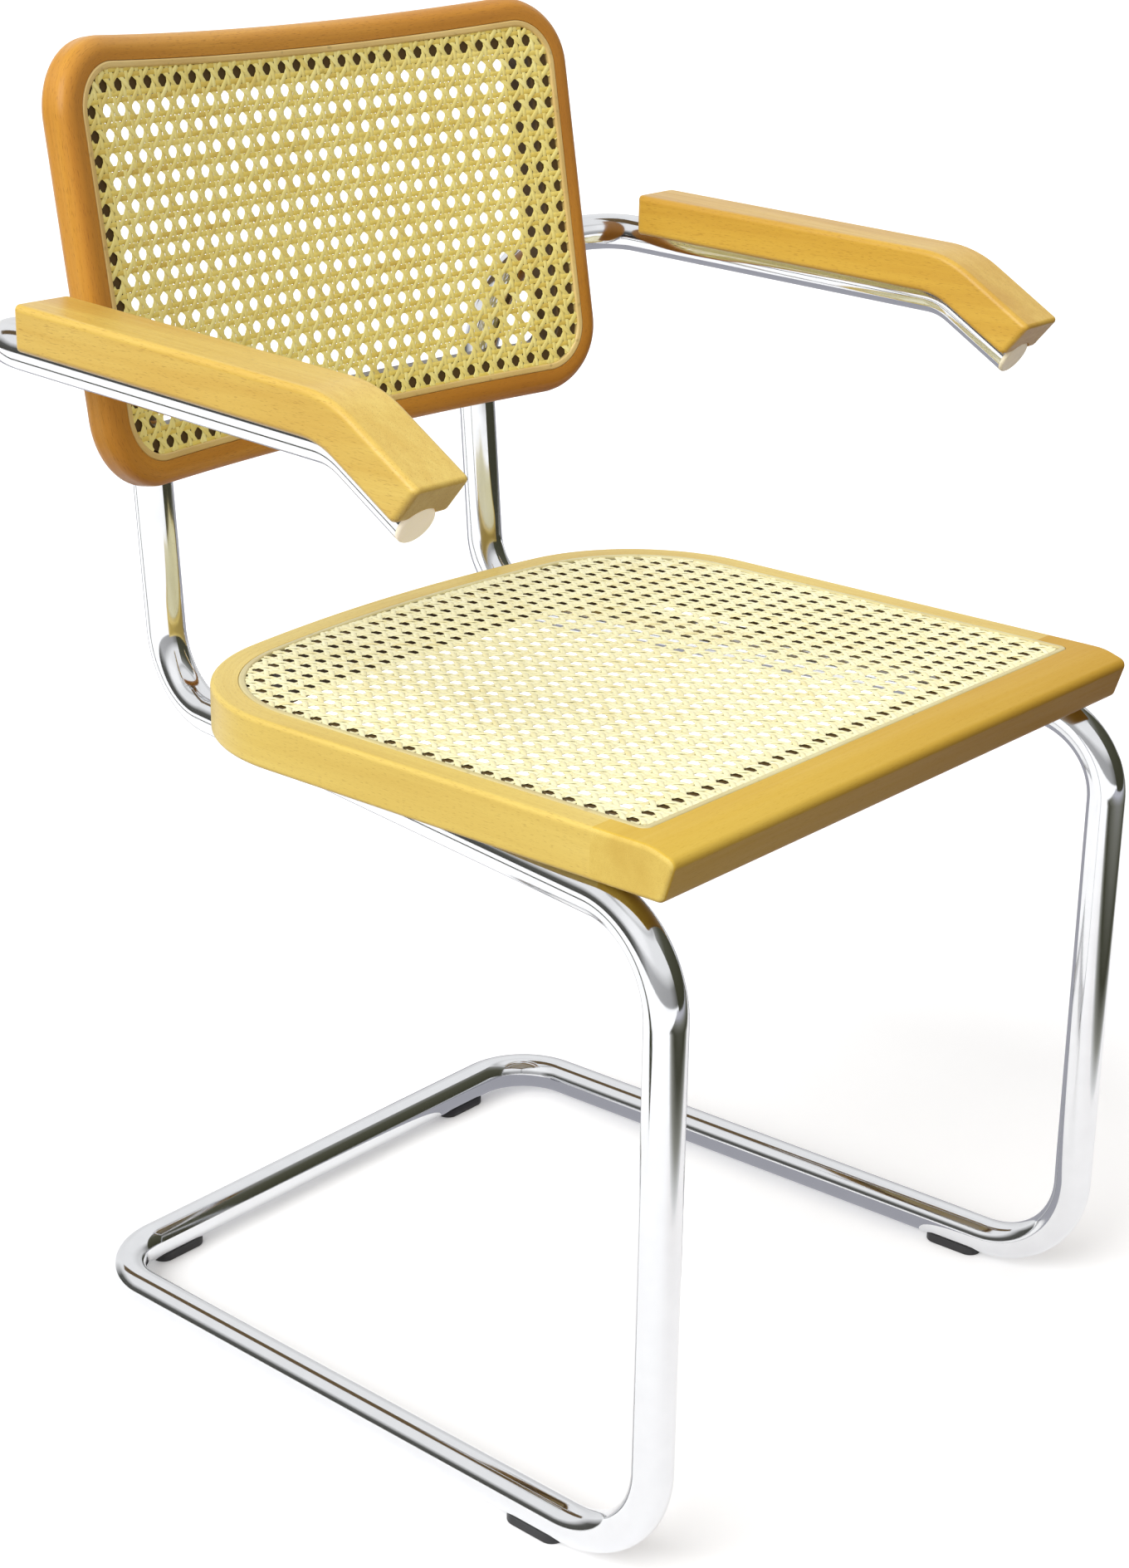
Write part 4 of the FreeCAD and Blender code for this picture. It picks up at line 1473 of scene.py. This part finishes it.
@dataclass
class BackRest(CanedFrame):
    """The back: a bent ring with a spline groove, and curved cane.

    curve is the radius of the ring's front about an upright axis, and lean the angle in
    degrees by which the whole leans back. up and down are how far the outline would reach
    above and below the middle at the sides, without its round corners.
    """

    part: str = "back"
    stock: float = 0.0355
    thick: float = 0.026
    spline_inset: float = 0.0155
    front_arris: float = 0.011
    foot_arris: float = 0.008
    foot_inner_arris: float = 0.003
    arris_steps: int = 9
    weave: Lattice = Lattice(
        (0.0135, 0.0142), (-0.2020, -0.1080), pair_width=0.0031, slant_width=0.0032, seed=31
    )
    half: float = 0.2265
    up: float = 0.137
    down: float = 0.1355
    corner: float = 0.047
    top_dip: float = 0.006
    foot_rise: float = 0.0025
    curve: float = 1.05
    lean: float = 9.6
    place_y: float = 0.218
    place_z: float = 0.6995
    corner_steps: int = 24
    wide_steps: int = 28
    step: float = 0.015

    def lay(self, x: Array, z: Array, depth: Array) -> Array:
        """Return places in the chair of points on the back's curved layers.

        The layer at a depth is a cylinder of the curve's radius plus that depth, with its
        axis in front of the back. The whole is then leant back and set in its place.

        Args:
            x: places across the back.
            z: places up the back, from its middle.
            depth: depths behind the ring's front.

        Returns:
            The places, with x, y and z on the last axis.
        """
        back = np.sqrt((self.curve + depth) ** 2 - x**2) - self.curve
        tilt = math.radians(self.lean)
        y = self.place_y + back * math.cos(tilt) + z * math.sin(tilt)
        up = self.place_z - back * math.sin(tilt) + z * math.cos(tilt)
        return np.stack([x, y, up], axis=-1)

    def level(self, depth: float) -> float:
        """Return the depth itself, because lay takes depths behind the ring's front."""
        return depth

    def inner_track(self, inset: float) -> Track:
        """Return the ring's outline at an inset, from the middle of the foot and round.

        The top is a very wide arc that dips in the middle and the foot one that rises, and
        each corner's arc touches the straight side and the wide arc from inside.

        Args:
            inset: distance inside the ring's outer side.

        Returns:
            The closed track.
        """
        top_radius = (self.half**2 + self.top_dip**2) / (2 * self.top_dip)
        foot_radius = (self.half**2 + self.foot_rise**2) / (2 * self.foot_rise)
        top_y = self.up - self.top_dip + top_radius
        foot_y = -self.down + self.foot_rise - foot_radius
        x = self.half - self.corner
        top_corner = top_y - math.sqrt((top_radius + self.corner) ** 2 - x**2)
        foot_corner = foot_y + math.sqrt((foot_radius + self.corner) ** 2 - x**2)
        top_turn = math.degrees(math.asin(x / (top_radius + self.corner)))
        foot_turn = math.degrees(math.asin(x / (foot_radius + self.corner)))
        radius, side = self.corner - inset, self.half - inset
        steps, wide = self.corner_steps, self.wide_steps
        top, top_in = arc((0.0, top_y), top_radius + inset, 270.0 + top_turn, 270.0 - top_turn, wide)
        foot, foot_in = arc((0.0, foot_y), foot_radius + inset, 90.0 + foot_turn, 90.0 - foot_turn, wide)
        middle = len(foot) // 2
        parts = [
            (foot[middle:-1], -foot_in[middle:-1]),
            arc((x, foot_corner), radius, -90.0 + foot_turn, 0.0, steps),
            run((side, foot_corner), (side, top_corner), (-1.0, 0.0), self.step),
            arc((x, top_corner), radius, 0.0, 90.0 + top_turn, steps),
            (top[1:-1], -top_in[1:-1]),
            arc((-x, top_corner), radius, 90.0 - top_turn, 180.0, steps),
            run((-side, top_corner), (-side, foot_corner), (1.0, 0.0), self.step),
            arc((-x, foot_corner), radius, 180.0, 270.0 - foot_turn, steps),
            (foot[1:middle], -foot_in[1:middle]),
        ]
        return Track.through(parts, True)

    def build(self) -> None:
        """Make the ring, its spline and the weave."""
        tones = (0.65, 0.325, 0.048), (0.555, 0.245, 0.029), (0.42, 0.165, 0.017), (0.25, 0.090, 0.013)
        # Painted shade darkens the ledge under the cane.
        beech = BeechFinish("back_beech", *tones, Grain.ALONG_PIECE, ledge=self.painted_ledge_block())
        reed = CaneFinish("back_reed", (0.78, 0.60, 0.24), (0.71, 0.51, 0.18), (0.58, 0.38, 0.11))
        gold = CaneFinish("back_weave", (0.90, 0.75, 0.20), (0.83, 0.66, 0.13), (0.70, 0.50, 0.08)).make()
        straw = CaneFinish("back_straw", (0.95, 0.87, 0.36), (0.90, 0.79, 0.26), (0.79, 0.63, 0.16)).make()
        ring = self.inner_track(0.0)
        self.sweep(ring, self.section(), "bent_back_ring", beech, "back_beech", "back_ring")
        self.make_cane(reed, [straw, gold, straw, straw])


@dataclass
class ArmPads(Chair):
    """The two flat beech arms, cut with straight grain from front to rear."""

    coat: float = 0.25

    def build(self) -> None:
        """Dress both pads, the left one in paler tones and the right one in deeper ones."""
        pale = (0.74, 0.55, 0.135), (0.67, 0.455, 0.090), (0.57, 0.335, 0.056), (0.38, 0.20, 0.035)
        deep = (0.67, 0.45, 0.083), (0.60, 0.365, 0.053), (0.50, 0.27, 0.033), (0.34, 0.17, 0.025)
        for side, tones in (("left", pale), ("right", deep)):
            beech = BeechFinish(f"arm_{side}_beech", *tones, Grain.ALONG_Y, coat=self.coat)
            self.dress(beech.make(), f"arm_pad_{side}")


@dataclass
class Fittings(Chair):
    """Caps, glides, spacers, screws and the hidden spigots."""

    # Painted glow of the milky caps, brighter on the left one: emission that stands in for light through
    # them.
    left_painted_glow: float = 0.32
    right_painted_glow: float = 0.12

    def build(self) -> None:
        """Dress every small node."""
        # Painted light: each cap glows, the left more than the right.
        for side, glow in (("left", self.left_painted_glow), ("right", self.right_painted_glow)):
            cap = MouldedFinish(f"cap_plastic_painted_glow_{side}", (0.92, 0.85, 0.68), 0.35, glow=glow)
            self.dress(cap.make(), f"tip_cap_{side}")
        glide = MouldedFinish("glide_plastic", (0.022, 0.022, 0.024), 0.5, 0.3)
        spacer = MouldedFinish("spacer_plastic", (0.05, 0.045, 0.04), 0.45, 0.2)
        glides = [f"{end}_glide_{side}" for end in ("front", "rear") for side in ("left", "right")]
        self.dress(glide.make(), *glides)
        self.dress(spacer.make(), "back_spacers")
        self.dress(SteelFinish("screw_steel").make(), "back_screws", "pad_screws", "seat_screws")
        self.dress(SteelFinish("spigot_steel", grey(0.5), 0.4).make(), "spigot_left", "spigot_right")


# Studio


def placing(across: Place, up: Place, away: Place, place: Place) -> Matrix:
    """Return the placing with the given axes and origin as its columns.

    Args:
        across: the first axis.
        up: the second axis.
        away: the third axis.
        place: the origin.

    Returns:
        The matrix.
    """
    columns = np.eye(4)
    columns[:3] = np.transpose([across, up, away, place])
    return Matrix(columns.tolist())


@dataclass
class Studio:
    """Plain pale floor, soft light and the camera at the photograph's angle.

    eye, right, up and back are the camera's measured place and axes. The room and the cards
    are seen by the polished tube alone, and give it streaks like the photograph's. The floor's
    bounce and the flag are seen by bounced light alone, and keep undersides dark and warm.
    """

    eye: Point = (-1.3162, -1.0960, 1.0143)
    right: Point = (0.64898, -0.76065, 0.01505)
    up: Point = (0.25860, 0.23915, 0.93591)
    back: Point = (-0.71551, -0.60350, 0.35190)
    lens: float = 90.6
    sensor: float = 36.0
    clip_end: float = 100.0
    floor_half: float = 20.0
    floor_glow: float = 0.16
    bounce_z: float = -0.002
    room_radius: float = 6.0
    room_rings: int = 24
    room_spokes: int = 72
    card_z: float = 0.003
    above_z: float = 2.4
    wall_z: float = 4.2
    dark: Colour = (0.05, 0.05, 0.03)
    room_light: float = 0.8
    sun_spread: float = 45.0
    sun_strength: float = 2.55
    sun_away: float = 3.0

    def camera(self) -> None:
        """Set the camera with its measured place, turn and lens."""
        data = bpy.data.cameras.new("view")
        data.sensor_fit = "HORIZONTAL"
        data.sensor_width = self.sensor
        data.lens = self.lens
        data.clip_end = self.clip_end
        camera = linked(bpy.data.objects.new("view", data))
        camera.matrix_world = placing(self.right, self.up, self.back, self.eye)
        bpy.context.scene.camera = camera

    def staged(self, name: str, mesh: bpy.types.Mesh, material: Material) -> bpy.types.Object:
        """Return a stage piece of a mesh in one material.

        Args:
            name: the piece's name.
            mesh: its mesh.
            material: its finish.

        Returns:
            The piece.
        """
        mesh.materials.append(material)
        piece = linked(bpy.data.objects.new(name, mesh))
        return piece

    def plane(self, corners: Sequence[Place], finish: Finish) -> bpy.types.Object:
        """Return a flat four-sided stage piece, named as its finish is.

        Args:
            corners: the four corners in order.
            finish: its finish.

        Returns:
            The piece.
        """
        mesh = bpy.data.meshes.new(finish.name)
        mesh.from_pydata([tuple(c) for c in corners], [], [(0, 1, 2, 3)])
        return self.staged(finish.name, mesh, finish.make())

    def only(self, piece: bpy.types.Object, glossy: bool = False, diffuse: bool = False) -> None:
        """Let only mirrored rays, or only bounced light, see a stage piece.

        Args:
            piece: the stage piece.
            glossy: whether mirrored rays see it.
            diffuse: whether bounced light sees it.
        """
        piece.visible_camera = False
        piece.visible_diffuse = diffuse
        piece.visible_glossy = glossy
        piece.visible_shadow = False
        piece.visible_transmission = False

    def room(self) -> None:
        """Set the room that the tube mirrors, a half ball.

        A point is the radius times the cosine of its rise, spread by the cosine and sine of
        its turn, with the radius times the sine of its rise as its height.
        """
        rise = np.linspace(0, math.pi / 2, self.room_rings + 1)
        turn = np.linspace(0, 2 * math.pi, self.room_spokes + 1)
        rise, turn = np.meshgrid(rise, turn, indexing="ij")
        level = np.cos(rise)
        ball = np.stack([level * np.cos(turn), level * np.sin(turn), np.sin(rise)], axis=-1)
        i, j = np.meshgrid(np.arange(self.room_rings), np.arange(self.room_spokes), indexing="ij")
        near = i * (self.room_spokes + 1) + j
        far = near + self.room_spokes + 1
        quads = np.stack([near, near + 1, far + 1, far], axis=-1)
        mesh = bpy.data.meshes.new("room")
        points = self.room_radius * ball.reshape(-1, 3)
        mesh.from_pydata(points.tolist(), [], quads.reshape(-1, 4).tolist())
        dusk = (0.07, 0.07, 0.06)
        walls = [
            (0.0, grey(0.5)),
            (0.2, grey(0.4)),
            (0.3, self.dark),
            (0.46, self.dark),
            (0.54, grey(0.7)),
            (0.74, grey(1.0)),
            (0.8, dusk),
            (0.94, dusk),
            (1.0, grey(0.5)),
        ]
        light = [(0.0, 0.0), (0.26, 0.05), (0.48, 1.0), (0.8, 1.0), (0.86, 0.5), (0.92, 1.0)]
        rise = [(height, grey(level)) for height, level in light]
        finish = RoomFinish("room", self.room_radius, walls, rise)
        self.only(self.staged("room", mesh, finish.make()), glossy=True)

    def cards(self) -> None:
        """Set the wall and the floor past the white sheet, which only the tube mirrors."""
        near, left, right, deep = 0.62, -1.0, 3.5, 3.0
        way, along = np.array([0.323, -0.946, 0.0]), np.array([0.946, 0.323, 0.0])
        lift = np.array([0.0, 0.0, self.card_z])
        first, last = near * way + left * along + lift, near * way + right * along + lift
        past = [first, last, last + deep * way, first + deep * way]
        fade = [
            (0.0, grey(0.95)),
            (0.07, (0.3, 0.3, 0.26)),
            (0.16, self.dark),
            (0.45, (0.2, 0.2, 0.17)),
            (1.0, (0.55, 0.55, 0.6)),
        ]
        wall = [(0.5, -2.9, 0.0), (3.0, -0.3, 0.0), (3.0, -0.3, self.wall_z), (0.5, -2.9, self.wall_z)]
        climb = [(0.0, self.dark), (0.5, (0.09, 0.09, 0.06)), (0.85, (0.3, 0.3, 0.28)), (1.0, grey(0.95))]
        strip = [(-0.86, 0.1), (-0.70, 0.1), (-0.70, 3.0), (-0.86, 3.0)]
        behind = [(0.1, -0.15), (3.5, 0.2), (3.5, 3.5), (0.3, 3.5)]
        above = [(-0.5, 0.5), (0.4, 0.5), (0.4, 4.5), (-0.5, 4.5)]
        for corners, finish in (
            (past, GlowFinish("card_floor", tuple(way), (near, near + 1.3), fade)),
            (wall, GlowFinish("card_wall", (0.0, 0.0, 1.0), (0.0, self.wall_z), climb)),
            ([(*spot, self.card_z) for spot in strip], EvenGlow("card_strip", self.dark)),
            ([(*spot, self.card_z) for spot in behind], EvenGlow("card_behind", (0.42, 0.42, 0.46))),
            ([(*spot, self.above_z) for spot in above], EvenGlow("card_above", (0.15, 0.10, 0.05))),
        ):
            self.only(self.plane(corners, finish), glossy=True)

    def sun(self, towards: Place) -> None:
        """Add the wide soft sun.

        Args:
            towards: the direction in which it shines.
        """
        data = bpy.data.lights.new("key", "SUN")
        data.angle = math.radians(self.sun_spread)
        data.energy = self.sun_strength
        away = -unit(towards)
        across = unit(np.cross((0.0, 1.0, 0.0), away))
        lamp = linked(bpy.data.objects.new("key", data))
        lamp.matrix_world = placing(across, np.cross(away, across), away, self.sun_away * away)

    def build(self) -> None:
        """Set the floor, the cards, the light and the camera."""
        half = self.floor_half
        sheet = [(-half, -half), (half, -half), (half, half), (-half, half)]
        white = MattFinish("floor", grey(0.94), self.floor_glow)
        floor = self.plane([(*spot, 0.0) for spot in sheet], white)
        floor.visible_diffuse = False
        bounce = MattFinish("floor_bounce", (0.27, 0.16, 0.07))
        self.only(self.plane([(*spot, self.bounce_z) for spot in sheet], bounce), diffuse=True)
        flag = [(-0.45, -0.85, 0.0), (2.5, -0.7, 0.0), (2.5, -0.7, 0.72), (-0.45, -0.85, 0.72)]
        self.only(self.plane(flag, MattFinish("flag", (0.22, 0.10, 0.03))), diffuse=True)
        self.cards()
        self.room()
        world = bpy.data.worlds.new("soft_room")
        world.use_nodes = True
        world.node_tree.nodes["Background"].inputs["Color"].default_value = (*grey(1.0), 1.0)
        world.node_tree.nodes["Background"].inputs["Strength"].default_value = self.room_light
        bpy.context.scene.world = world
        self.sun((1.0, 0.05, -0.75))
        bpy.context.scene.view_settings.view_transform = "Standard"
        self.camera()


def main() -> None:
    """Build the chair's parts in order, then the studio."""
    for part in (TubeFrame(), SeatFrame(), BackRest(), ArmPads(), Fittings()):
        report.info("building %s", type(part).__name__)
        part.build()
    Studio().build()


if __name__ == "__main__":
    main()
